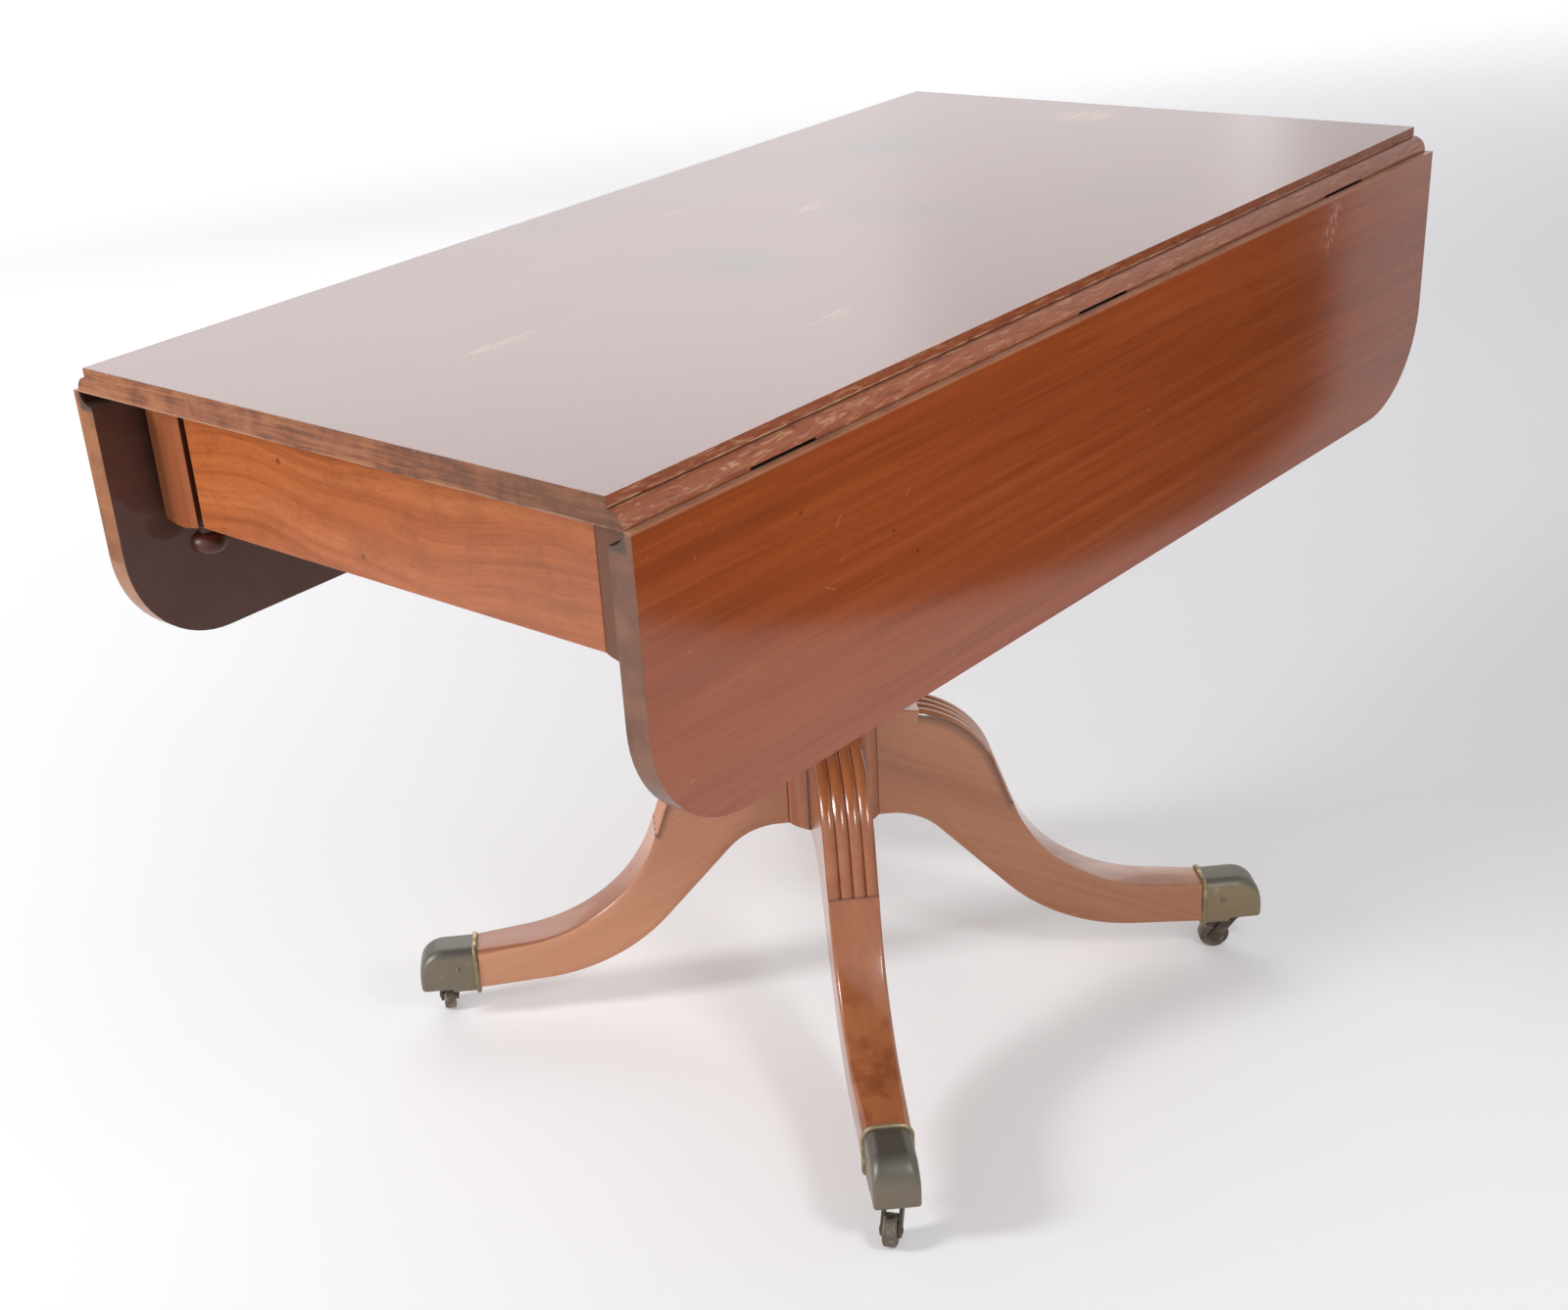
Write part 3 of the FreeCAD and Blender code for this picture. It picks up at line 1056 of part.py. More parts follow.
doc.recompute()
bad = []
for piece in doc.Objects:
    if "Invalid" in piece.State or "Error" in piece.State:
        bad.append("%s %s" % (piece.Name, piece.State))
for label, piece in nodes.items():
    if piece.Shape.isNull() or not piece.Shape.isValid():
        bad.append(label + " has no valid shape")
if bad:
    raise RuntimeError("\n".join(bad))

os.makedirs("parts", exist_ok=True)
for label, piece in sorted(nodes.items()):
    piece.Shape.exportStep("parts/%s.step" % label)
    solids = len(piece.Shape.Solids)
    size = piece.Shape.BoundBox
    print("%-28s %d solids  x %.1f..%.1f  y %.1f..%.1f  z %.1f..%.1f" % (
        label, solids, size.XMin, size.XMax, size.YMin, size.YMax, size.ZMin, size.ZMax))
print(len(nodes), "sub-parts")
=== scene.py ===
# %% [markdown]
# # A drop-leaf side table
# The construction comes first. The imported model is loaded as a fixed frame, in metres, with the floor at
# zero height. Everything made below is set on one of its moving bodies.

import json
import math

import bmesh
import bpy
import numpy as np
from mathutils import Matrix, Vector

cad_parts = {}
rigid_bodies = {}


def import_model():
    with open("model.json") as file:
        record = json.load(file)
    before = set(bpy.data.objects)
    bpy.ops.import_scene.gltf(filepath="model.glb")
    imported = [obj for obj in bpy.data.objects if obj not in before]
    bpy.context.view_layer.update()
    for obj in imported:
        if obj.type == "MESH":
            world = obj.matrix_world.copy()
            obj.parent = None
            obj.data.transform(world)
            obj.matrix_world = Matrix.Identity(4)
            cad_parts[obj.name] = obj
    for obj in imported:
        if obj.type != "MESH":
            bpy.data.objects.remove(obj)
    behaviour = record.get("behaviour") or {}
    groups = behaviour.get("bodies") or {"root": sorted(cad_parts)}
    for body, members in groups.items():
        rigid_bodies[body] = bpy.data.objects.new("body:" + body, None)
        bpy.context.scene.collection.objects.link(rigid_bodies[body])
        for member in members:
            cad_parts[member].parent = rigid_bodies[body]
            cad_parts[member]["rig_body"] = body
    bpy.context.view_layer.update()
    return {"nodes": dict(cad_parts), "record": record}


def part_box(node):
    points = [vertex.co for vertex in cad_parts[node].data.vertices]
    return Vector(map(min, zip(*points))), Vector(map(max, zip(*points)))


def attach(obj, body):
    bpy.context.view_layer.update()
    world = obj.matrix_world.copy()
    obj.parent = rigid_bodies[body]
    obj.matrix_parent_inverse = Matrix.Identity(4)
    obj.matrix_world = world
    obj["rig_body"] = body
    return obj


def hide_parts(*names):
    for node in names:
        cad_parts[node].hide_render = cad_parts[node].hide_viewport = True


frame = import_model()
NODES = frame["nodes"]
MM = 0.001
CORNERS = ("front_right", "front_left", "back_right", "back_left")

# %% [markdown]
# ## Colour and nodes
# Colours are written as sRGB hex values, the way a picture editor shows them. The shader works in linear
# light, so one function turns them over. A second one adds a shader node with its settings and its links,
# which keeps each material readable as a short list of steps. A mask is a value from 0 to 1 that says where
# something lies. Three functions put masks together, and one more lays a tint where they are on.


# %% Colour and node helpers
def hex_colour(text):
    """sRGB hex to linear light: c / 12.92 below 0.04045, else ((c + 0.055) / 1.055) to the power 2.4."""
    parts = np.array([int(text[i:i + 2], 16) / 255 for i in (1, 3, 5)])
    linear = np.where(parts <= 0.04045, parts / 12.92, ((parts + 0.055) / 1.055) ** 2.4)
    return (*linear.tolist(), 1.0)


# Map Range always runs smoothly here, and Mix always mixes colours
USUAL = {"MapRange": {"interpolation_type": "SMOOTHSTEP"}, "Mix": {"data_type": "RGBA"}}


def put(tree, kind, *values, give=None, stops=(), **named):
    """Adds a shader node and gives back an output, the first live one unless give names it. values fill the
    live inputs in order. A named value with a capital goes to the input of that name, with _ for a space, and
    one without is a setting of the node. A value is a number, a hex colour or another node's output. stops
    are the places and hex colours of a colour ramp."""
    made = tree.nodes.new("ShaderNode" + kind)
    for name, value in {**USUAL.get(kind, {}), **named}.items():
        if name.islower():
            setattr(made, name, value)
    filled = list(zip([socket for socket in made.inputs if socket.enabled], values))
    filled += [(made.inputs[name.replace("_", " ")], named[name]) for name in named if not name.islower()]
    for socket, value in filled:
        if isinstance(value, bpy.types.NodeSocket):
            tree.links.new(value, socket)
        else:
            socket.default_value = hex_colour(value) if isinstance(value, str) else value
    for index, (place, colour) in enumerate(stops):
        steps = made.color_ramp.elements
        step = steps[index] if index < len(steps) else steps.new(place)
        step.position, step.color = place, hex_colour(colour)
    return made.outputs[give] if give else next((out for out in made.outputs if out.enabled), None)


def together(tree, operation, masks):
    """Masks taken together one after another. One may be written as (value, off, on), or with two levels
    after these: it goes smoothly from 0 to 1, or between its levels, while the value goes from off to on."""
    total = None
    for mask in masks:
        if isinstance(mask, tuple):
            mask = put(tree, "MapRange", *mask)
        total = mask if total is None else put(tree, "Math", total, mask, operation=operation)
    return total


def overlap(tree, *masks):
    """The place where all of several masks are on: their product."""
    return together(tree, "MULTIPLY", masks)


def either(tree, *masks):
    """The place where any of several masks is on: the largest of them."""
    return together(tree, "MAXIMUM", masks)


def stained(tree, colour, tint, *masks):
    """Lays a tint over a colour where all masks are on. A plain number among them is the tint's strength."""
    return put(tree, "Mix", overlap(tree, *masks), colour, tint)


def new_material(name):
    """An empty material and its node tree."""
    material = bpy.data.materials.new(name)
    material.use_nodes = True
    material.node_tree.nodes.clear()
    return material, material.node_tree


print("helpers ready")

# %% [markdown]
# ## Mahogany under French polish
# The wood is mahogany: reddish brown, straight grained, with open pores that show as short dark dashes, and
# broad darker streaks where the saw met other growth. French polish is thin shellac rubbed to a soft gloss.
# It fills most of the pores, so the surface stays nearly smooth and mirrors pale surroundings softly. On
# some pieces its gloss is a clear coat over the wood's own, duller shine.
# A solid pattern in three dimensions is used, stretched along the grain. The ends of a board then show
# end grain, with no unwrapping.

# %% Mahogany
STREAK_WIDE, STREAK_LONG, STREAK_SHARE = 38 * MM, 800 * MM, 0.55
LINE_WIDE, LINE_LONG, LINE_SHARE = 6 * MM, 260 * MM, 0.3
HAIR_WIDE, HAIR_LONG, HAIR_SHARE = 1.3 * MM, 60 * MM, 0.15
# Real pores are about 0.2 mm wide, too fine to show, so they are drawn three times as coarse
PORE_WIDE, PORE_LONG, PORE_DEEP = 0.7 * MM, 9 * MM, 0.15 * MM
BOW_SIZE = 200 * MM
TONE_SPREAD = 0.17
POLISH_IOR, COAT_ROUGH, DRY_ROUGH = 1.5, 0.1, 0.6


def along_grain(turn):
    """Mapping angles that lay the grain along Y, from a heading and a dip in degrees."""
    heading, dip = (math.radians(angle) for angle in turn)
    flat = Matrix.Rotation(math.pi / 2 - heading, 3, "Z")
    level = Matrix.Rotation(dip, 3, "X")
    return tuple((level @ flat).to_euler("XYZ"))


def stretched_noise(tree, place, wide, long, detail, shift=0.0, distortion=0.0, roughness=0.5):
    """Noise with cells of wide across the grain and long along it."""
    scaled = put(tree, "Mapping", place, Location=(shift, shift * 1.7, shift * 0.6),
                 Scale=(1 / wide, 1 / long, 1 / wide))
    return put(tree, "TexNoise", scaled, 1.0, detail, roughness, Distortion=distortion)


def mahogany(name, dark, middle, light, turn=(90, 0), shift=0.0, rough=0.3, coat=0.0, figure=1.0,
             contrast=1.0, uneven=0.05, relief=0.05, open_pores=0.45, bow=0.0, marks=None):
    """A solid wood pattern. Streaks, lines and hairs of three sizes are summed and coloured by a ramp.
    bow bends the grain up and down by so many metres, which gives a board its arched figure.
    marks adds what is special to one board. It gives back the colour and how dry the polish is, from 0
    to 1."""
    material, tree = new_material(name)
    place = put(tree, "TexCoord", give="Object")
    rise = put(tree, "Math", put(tree, "TexNoise", place, 1 / BOW_SIZE, 1.0), 0.5, operation="SUBTRACT")
    rise = put(tree, "CombineXYZ", Z=put(tree, "Math", rise, bow, operation="MULTIPLY"))
    bent = put(tree, "VectorMath", place, rise, operation="ADD")
    grain = put(tree, "Mapping", bent, Rotation=along_grain(turn),
                Location=(shift, shift * 0.37, shift * 0.61))
    streaks = stretched_noise(tree, grain, STREAK_WIDE, STREAK_LONG, 3.0, shift, 0.6)
    lines = stretched_noise(tree, grain, LINE_WIDE, LINE_LONG, 4.0, shift + 3)
    hairs = stretched_noise(tree, grain, HAIR_WIDE, HAIR_LONG, 2.0, shift + 7)
    pores = stretched_noise(tree, grain, PORE_WIDE, PORE_LONG, 1.0, shift + 11)
    total = 0.0
    for pattern, share in ((streaks, STREAK_SHARE * figure), (lines, LINE_SHARE), (hairs, HAIR_SHARE)):
        total = put(tree, "Math", pattern, share, total, operation="MULTIPLY_ADD")
    mean = 0.5 * (STREAK_SHARE * figure + LINE_SHARE + HAIR_SHARE)
    tone = put(tree, "MapRange", total, mean - TONE_SPREAD / contrast, mean + TONE_SPREAD / contrast)
    colour = put(tree, "ValToRGB", tone, stops=[(0.0, dark), (0.5, middle), (1.0, light)])
    dash = put(tree, "MapRange", pores, 0.60, 0.72)
    colour = stained(tree, colour, dark, dash, open_pores)
    waxed = put(tree, "MapRange", streaks, 0.3, 0.7, rough - 0.8 * uneven, rough + 1.2 * uneven)
    if marks:
        colour, dry = marks(tree, place, colour)
        waxed = either(tree, waxed, overlap(tree, dry, DRY_ROUGH))
    height = put(tree, "Math", overlap(tree, lines, 0.5), dash, operation="SUBTRACT")
    bump = put(tree, "Bump", Strength=relief, Distance=PORE_DEEP, Height=height)
    shader = put(tree, "BsdfPrincipled", Base_Color=colour, Roughness=waxed, IOR=POLISH_IOR,
                 Coat_Weight=coat, Coat_Roughness=COAT_ROUGH, Normal=bump)
    put(tree, "OutputMaterial", shader)
    return material


print("mahogany ready")

# %% [markdown]
# ## Marks of use on the top
# The old top carries pale rubbed patches and a few dark blooms, and the ovolo that shows along each side is
# scuffed to a dry, light brown. Its ends were sawn across and never polished. Each mark is a mask in real
# places on the board, broken up by noise, so that it follows the wood and never the camera.

# %% Masks in real places
# Each patch is a middle (x, y) and a half width and half length, in metres
PALE_PATCHES = ((-0.035, 0.47, 0.035, 0.035), (0.043, 0.487, 0.015, 0.02), (-0.06, 0.088, 0.012, 0.035),
                (-0.018, -0.327, 0.010, 0.040), (0.161, -0.166, 0.008, 0.03), (-0.163, 0.045, 0.003, 0.045))
DARK_BLOOMS = ((0.0, -0.09, 0.085, 0.05), (0.16, 0.24, 0.06, 0.06), (-0.143, 0.294, 0.05, 0.05),
               (-0.238, -0.057, 0.03, 0.05), (0.02, 0.1, 0.1, 0.04))


def patch_mask(tree, place, patches, soft):
    """Soft ellipses: d . d from 1 at the rim down to 1 - soft, with d the way from the middle over the half
    width and half length."""
    masks = []
    for x, y, wide, long in patches:
        away = put(tree, "VectorMath", place, (x, y, 0), operation="SUBTRACT")
        away = put(tree, "VectorMath", away, (1 / wide, 1 / long, 0), operation="MULTIPLY")
        reach = put(tree, "VectorMath", away, away, operation="DOT_PRODUCT")
        masks.append((reach, 1.0, 1.0 - soft))
    return either(tree, *masks)


def spot_mask(tree, place, spots, reach):
    """Soft balls of a given reach in metres."""
    away = [put(tree, "VectorMath", place, spot, operation="DISTANCE") for spot in spots]
    return either(tree, *((distance, reach, reach * 0.3) for distance in away))


def scratch_mask(tree, place, lines, wide):
    """Thin lines between pairs of points: |p - a - t (b - a)|, with t from 0 to 1 for the foot of p."""
    masks = []
    for start, stop in lines:
        run = Vector(stop) - Vector(start)
        away = put(tree, "VectorMath", place, start, operation="SUBTRACT")
        foot = put(tree, "VectorMath", away, run / run.length_squared, operation="DOT_PRODUCT")
        along = put(tree, "VectorMath", run, put(tree, "Clamp", foot), operation="SCALE")
        off = put(tree, "VectorMath", away, along, operation="DISTANCE")
        masks.append((off, wide, wide * 0.3))
    return either(tree, *masks)


print(len(PALE_PATCHES), "pale patches", len(DARK_BLOOMS), "dark blooms")

# %% Marks on the top board
TOP_SIDE, TOP_END = 0.27, 0.52
ARRIS_AT, TOP_FOOT, TOP_HEAD = 0.713, 0.7, 0.72


def face_marks(tree, place, colour):
    """Dark blooms broken by clouds, and pale patches brushed along the grain."""
    broken = put(tree, "MapRange", put(tree, "TexNoise", place, 1 / (55.6 * MM), 5.0, 0.65), 0.3, 0.6)
    brushed = put(tree, "MapRange", stretched_noise(tree, place, 4 * MM, 60 * MM, 3.0, 5), 0.4, 0.6)
    colour = stained(tree, colour, "#3a2a2c", patch_mask(tree, place, DARK_BLOOMS, 0.95), broken, 0.6)
    return stained(tree, colour, "#b8865c", patch_mask(tree, place, PALE_PATCHES, 0.9), brushed, 0.6)


def ovolo_marks(tree, place, colour):
    """Torn grain on the ovolo: pale scuffs and grime between them, a painted shadow line under the fillet's
    step, and a light line on the arris that is partly rubbed wear and partly a painted highlight. Gives back
    the colour and how dry it is, which grows towards the drawer's end."""
    x, y, z = put(tree, "SeparateXYZ", place).node.outputs
    side = put(tree, "Math", x, operation="ABSOLUTE")
    edge = put(tree, "MapRange", side, TOP_SIDE - 1.5 * MM, TOP_SIDE + 0.5 * MM)
    scuffs = stretched_noise(tree, place, 3 * MM, 22 * MM, 5.0, 9, 0.8, 0.65)
    colour = stained(tree, colour, "#944e2c", edge)
    near = put(tree, "MapRange", y, 0.1, -0.5, 0.35, 0.75)
    colour = stained(tree, colour, "#c9966f", edge, (scuffs, 0.50, 0.66), near)
    colour = stained(tree, colour, "#5e2a18", edge, (scuffs, 0.42, 0.34), 0.7)
    # Painted shadow: a dark line on the ovolo just beyond the fillet's step, where the step throws shade.
    shelf_shadow = overlap(tree, (side, TOP_SIDE + 0.1 * MM, TOP_SIDE + 0.4 * MM),
                    (side, TOP_SIDE + 3.2 * MM, TOP_SIDE + 1.8 * MM))
    colour = stained(tree, colour, "#3c1c12", shelf_shadow, 0.85)
    # A light line along the fillet's lower arris, broken by the scuffs: partly rubbed wear, partly a painted
    # highlight.
    arris = overlap(tree, (z, ARRIS_AT - 0.5 * MM, ARRIS_AT - 0.3 * MM),
                    (z, ARRIS_AT + 0.5 * MM, ARRIS_AT + 0.1 * MM))
    rubbed = put(tree, "MapRange", scuffs, 0.40, 0.52)
    colour = stained(tree, colour, "#d3ad8e", arris, edge, rubbed, 0.8)
    return colour, overlap(tree, edge, (y, 0.3, -0.4, 0.0, 0.9))


def end_grain(tree, place):
    """The sawn ends: blotches with saw lines, duller to the right, with pale chips at the head and foot."""
    x, _, z = put(tree, "SeparateXYZ", place).node.outputs
    blotch = put(tree, "TexNoise", place, 1 / (38.5 * MM), 6.0, 0.65)
    sawn = put(tree, "Mapping", place, Scale=(1 / (40 * MM), 1.0, 1 / (1.6 * MM)))
    sawn = put(tree, "TexNoise", sawn, 1.0, 4.0)
    cut = put(tree, "Math", sawn, 0.4, overlap(tree, blotch, 0.6), operation="MULTIPLY_ADD")
    colour = put(tree, "ValToRGB", put(tree, "MapRange", cut, 0.38, 0.62),
                 stops=[(0.0, "#663b23"), (0.45, "#8c5132"), (1.0, "#a56942")])
    colour = stained(tree, colour, "#6b4a39", (x, 0.05, 0.22, 0.0, 0.4))
    chips = put(tree, "MapRange", put(tree, "TexNoise", place, 1 / (11.1 * MM), 1.0), 0.66, 0.72)
    head = put(tree, "MapRange", z, TOP_HEAD - 2.5 * MM, TOP_HEAD - 0.8 * MM)
    colour = stained(tree, colour, "#cfa584", chips, head)
    foot = put(tree, "MapRange", z, TOP_FOOT + 1.6 * MM, TOP_FOOT + 0.8 * MM)
    return stained(tree, colour, "#b8937a", foot, (blotch, 0.35, 0.5), 0.5)


def top_marks(tree, place, colour):
    """Marks of the flat face, of the ovolo along both sides and of the sawn ends."""
    colour, worn = ovolo_marks(tree, place, face_marks(tree, place, colour))
    _, y, _ = put(tree, "SeparateXYZ", place).node.outputs
    length = put(tree, "Math", y, operation="ABSOLUTE")
    ends = put(tree, "MapRange", length, TOP_END - 1.2 * MM, TOP_END - 0.5 * MM)
    return stained(tree, colour, end_grain(tree, place), ends), either(tree, worn, ends)


top_wood = mahogany("polished_mahogany_top", "#623730", "#723e35", "#7e473b", shift=1.3, rough=0.24,
                    figure=0.8, contrast=0.3, uneven=0.0, relief=0.0, open_pores=0.0, marks=top_marks)
print("top wood has", len(top_wood.node_tree.nodes), "nodes")

# %% [markdown]
# ## Marks of use on the leaves
# A leaf is polished on the face that shows, and that polish has its scratches, small dents and one smudge
# near the far end. The face towards the frame was left bare, and its dark colour is partly darkened bare wood
# and partly painted shade. The thin edges have lost their polish, and the arris at the rule joint is rubbed
# light where the leaf turns past the top.

# %% Marks on the leaves
LEAF_FACE, LEAF_MIDDLE, LEAF_HEAD = 0.289, 0.2745, 0.7005
SMUDGES = [(LEAF_FACE, *spot) for spot in ((0.342, 0.686), (0.334, 0.670))]
DENTS = [(LEAF_FACE, *spot) for spot in ((-0.365, 0.661), (-0.243, 0.592), (-0.269, 0.616))]
SCRATCHES = [[(LEAF_FACE, *end) for end in ends] for ends in (
    ((-0.330, 0.639), (-0.325, 0.646)), ((-0.344, 0.602), (-0.333, 0.596)),
    ((-0.327, 0.614), (-0.324, 0.615)), ((-0.254, 0.635), (-0.250, 0.641)),
    ((0.482, 0.628), (0.500, 0.606)), ((0.470, 0.600), (0.478, 0.622)))]
SMUDGE_REACH, DENT_REACH, SCRATCH_WIDE = 16 * MM, 2.2 * MM, 0.35 * MM


def leaf_marks(tree, place, colour):
    """The inner face is bare, and its dark colour is partly painted shade; the edges are dry and greyer, and
    the top arris is rubbed light.
    """
    x, _, z = put(tree, "SeparateXYZ", place).node.outputs
    side = put(tree, "Math", x, operation="ABSOLUTE")
    cloud = put(tree, "TexNoise", place, 1 / (40 * MM), 4.0, 0.6)
    clouded = put(tree, "MapRange", cloud, 0.35, 0.65)
    specks = put(tree, "TexNoise", place, 1 / (5.88 * MM), 1.0)
    colour = stained(tree, colour, "#c98a60", (specks, 0.76, 0.80, 0.0, 0.25))
    colour = stained(tree, colour, "#c9988a", spot_mask(tree, place, SMUDGES, SMUDGE_REACH),
                     (specks, 0.45, 0.6), 0.5)
    # The bare inner face: darkened wood, and partly painted shade.
    inside = put(tree, "MapRange", side, LEAF_MIDDLE + 1 * MM, LEAF_MIDDLE - 4 * MM)
    colour = stained(tree, colour, put(tree, "Mix", clouded, "#493029", "#583a30"), inside, 0.88)
    facing = put(tree, "SeparateXYZ", put(tree, "TexCoord", give="Normal"))
    edge = put(tree, "MapRange", put(tree, "Math", facing, operation="ABSOLUTE"), 0.75, 0.5)
    right_edge = put(tree, "Mix", clouded, "#633a25", "#855638")
    left_edge = put(tree, "Mix", clouded, "#855433", "#a97148")
    dry = put(tree, "Mix", put(tree, "MapRange", x, 0.01, -0.01), right_edge, left_edge)
    colour = stained(tree, colour, dry, edge, 0.9)
    rubbed = put(tree, "MapRange", z, LEAF_HEAD - 3.0 * MM, LEAF_HEAD - 0.8 * MM)
    colour = stained(tree, colour, "#a86c4a", rubbed, (cloud, 0.35, 0.6, 0.4, 0.95))
    # Painted shade: the hollow of the rule joint is darkened.
    hollow_shade = overlap(tree, (z, LEAF_HEAD - 16.5 * MM, LEAF_HEAD - 12.5 * MM),
                     (side, LEAF_MIDDLE + 10 * MM, LEAF_MIDDLE + 8 * MM))
    colour = stained(tree, colour, "#4a3529", hollow_shade)
    colour = stained(tree, colour, "#d39a72", scratch_mask(tree, place, SCRATCHES, SCRATCH_WIDE), 0.6)
    colour = stained(tree, colour, "#4a2413", spot_mask(tree, place, DENTS, DENT_REACH), 0.6)
    return colour, either(tree, edge, inside, overlap(tree, rubbed, 0.8))


leaf_wood = mahogany("polished_mahogany_leaf", "#823f1f", "#9c4b25", "#aa592e", shift=4.1, rough=0.1,
                     coat=0.45, figure=0.5, contrast=0.9, uneven=0.015, relief=0.02, marks=leaf_marks)
print(len(SCRATCHES), "scratches and", len(DENTS), "dents on a leaf")

# %% [markdown]
# ## Drawer front, end rail and corner blocks
# The drawer front was cut where the grain arches, and it holds two small pin knots. It stands a few
# millimetres off the left block, and that gap is darkened with painted shade. The blocks are cut with the
# grain upright, and the two right ones are painted darker brown, as painted shade, and have a drier polish.

# %% Wood of the frieze
DRAWER_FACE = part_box("drawer_front")[0][1]
KNOTS = ((-0.019, DRAWER_FACE, 0.607), (-0.101, DRAWER_FACE, 0.664))
KNOT_REACH = 3.5 * MM
BLOCK_INNER = min(abs(corner[0]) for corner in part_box("corner_block_front_right"))


def drawer_marks(tree, place, colour):
    """Pin knots as small dark spots, and darker clouds in the polish."""
    colour = stained(tree, colour, "#3f1d10", spot_mask(tree, place, KNOTS, KNOT_REACH), 0.6)
    cloud = put(tree, "TexNoise", place, 1 / (25 * MM), 5.0, 0.7)
    return stained(tree, colour, "#8a4a25", (cloud, 0.45, 0.7, 0.0, 0.35)), 0.0


def block_marks(tree, place, colour):
    """Painted shade in the gap where the left blocks look at the drawer, and the right blocks painted darker
    brown as painted shade, with a drier polish.
    """
    side = put(tree, "SeparateXYZ", place)
    # Painted shade: the blocks on the right are darkened.
    colour = stained(tree, colour, "#6c442f", (side, -0.05, 0.05, 0.0, 0.85))
    # Painted shade in the gap between the left blocks and the drawer.
    gap_shade = put(tree, "MapRange", side, -BLOCK_INNER - 1.1 * MM, -BLOCK_INNER - 0.5 * MM, 0.0, 0.9)
    colour = stained(tree, colour, "#24120c", gap_shade, (side, 0.0, -0.01))
    return colour, put(tree, "MapRange", side, -0.05, 0.05, 0.0, 0.8)


frieze_across = mahogany("mahogany_frieze_across", "#994f29", "#b96535", "#c77543", turn=(0, 0), shift=2.9,
                         rough=0.22, figure=0.55, contrast=1.1, uneven=0.02, relief=0.02, open_pores=0.7,
                         bow=0.055, marks=drawer_marks)
block_wood = mahogany("mahogany_blocks", "#84462a", "#a05a35", "#ae6a41", turn=(0, 90), shift=9.3,
                      rough=0.34, marks=block_marks)
bun_wood = mahogany("turned_mahogany", "#34170f", "#5a2b1c", "#743d29", turn=(0, 90), shift=3.3, rough=0.4)
print("drawer face at", DRAWER_FACE, "blocks begin at", BLOCK_INNER)

# %% [markdown]
# ## Column, legs and hidden wood
# The column's grain stands upright, and old dirt has left a dark line where each leg enters its drum. A leg
# was sawn with its grain along its slope. The four legs have had different hands, so each has tones and a
# gloss of its own, and the front left leg's paler tones are partly a painted reflection of the pale floor.
# The wood that nobody sees was never polished, and the drawer's inside is raw oak.

# %% Wood of the column and the frame
DRUM_JOINT, ROOT_HEAD_AT = 24.1 * MM, 0.299


def joint_marks(tree, place, colour):
    """A dark line on the drum along both sides of each leg, which stand at 45 degrees to the boards. The
    nearer of |x + y| and |x - y| over root 2 is the way from a leg's middle plane."""
    x, y, z = put(tree, "SeparateXYZ", place).node.outputs
    planes = [put(tree, "Math", x, y, operation=way) for way in ("ADD", "SUBTRACT")]
    one, other = (put(tree, "Math", plane, operation="ABSOLUTE") for plane in planes)
    nearer = put(tree, "Math", one, other, operation="MINIMUM")
    nearer = put(tree, "Math", nearer, math.sqrt(2), operation="DIVIDE")
    off = put(tree, "Math", nearer, DRUM_JOINT, operation="SUBTRACT")
    line = put(tree, "MapRange", put(tree, "Math", off, operation="ABSOLUTE"), 1.1 * MM, 0.4 * MM)
    below = put(tree, "MapRange", z, ROOT_HEAD_AT, ROOT_HEAD_AT - 3 * MM)
    return stained(tree, colour, "#24110b", line, below, 0.9), 0.0


column_wood = mahogany("turned_mahogany_column", "#804226", "#ae6842", "#c4835c", turn=(0, 90), shift=5.9,
                       rough=0.24, coat=0.3, uneven=0.02, relief=0.02, marks=joint_marks)
BARE, OAK = ("#4a2c1a", "#74482b", "#90603c"), ("#7a5a38", "#a9825a", "#c4a077")
plain_wood = mahogany("unpolished_mahogany", *BARE, shift=6.7, rough=0.6)
plain_across = mahogany("unpolished_mahogany_across", *BARE, turn=(0, 0), shift=8.1, rough=0.6)
oak_along = mahogany("raw_oak_along", *OAK, shift=2.2, rough=0.65)
oak_across = mahogany("raw_oak_across", *OAK, turn=(0, 0), shift=1.8, rough=0.65)
print(len(bpy.data.materials), "wood finishes before the legs")

# %% Wood of the legs
LEG_TURNS = {"front_right": -45, "front_left": -135, "back_right": 45, "back_left": 135}
LEG_DIP = 24
# Dark, middle and light tone of each leg, its coat of polish and its roughness
LEG_FINISH = {"front_right": ("#8e4c2a", "#ae6840", "#be7c54", 0.35, 0.2),
              # The front left leg's paler tones are partly a painted reflection of the pale floor.
              "front_left": ("#ab6c4d", "#c98a68", "#d49b7c", 0.05, 0.2),
              "back_right": ("#9c5a38", "#c07e57", "#cd926e", 0.5, 0.17),
              "back_left": ("#965331", "#b4704a", "#c48460", 0.3, 0.2)}


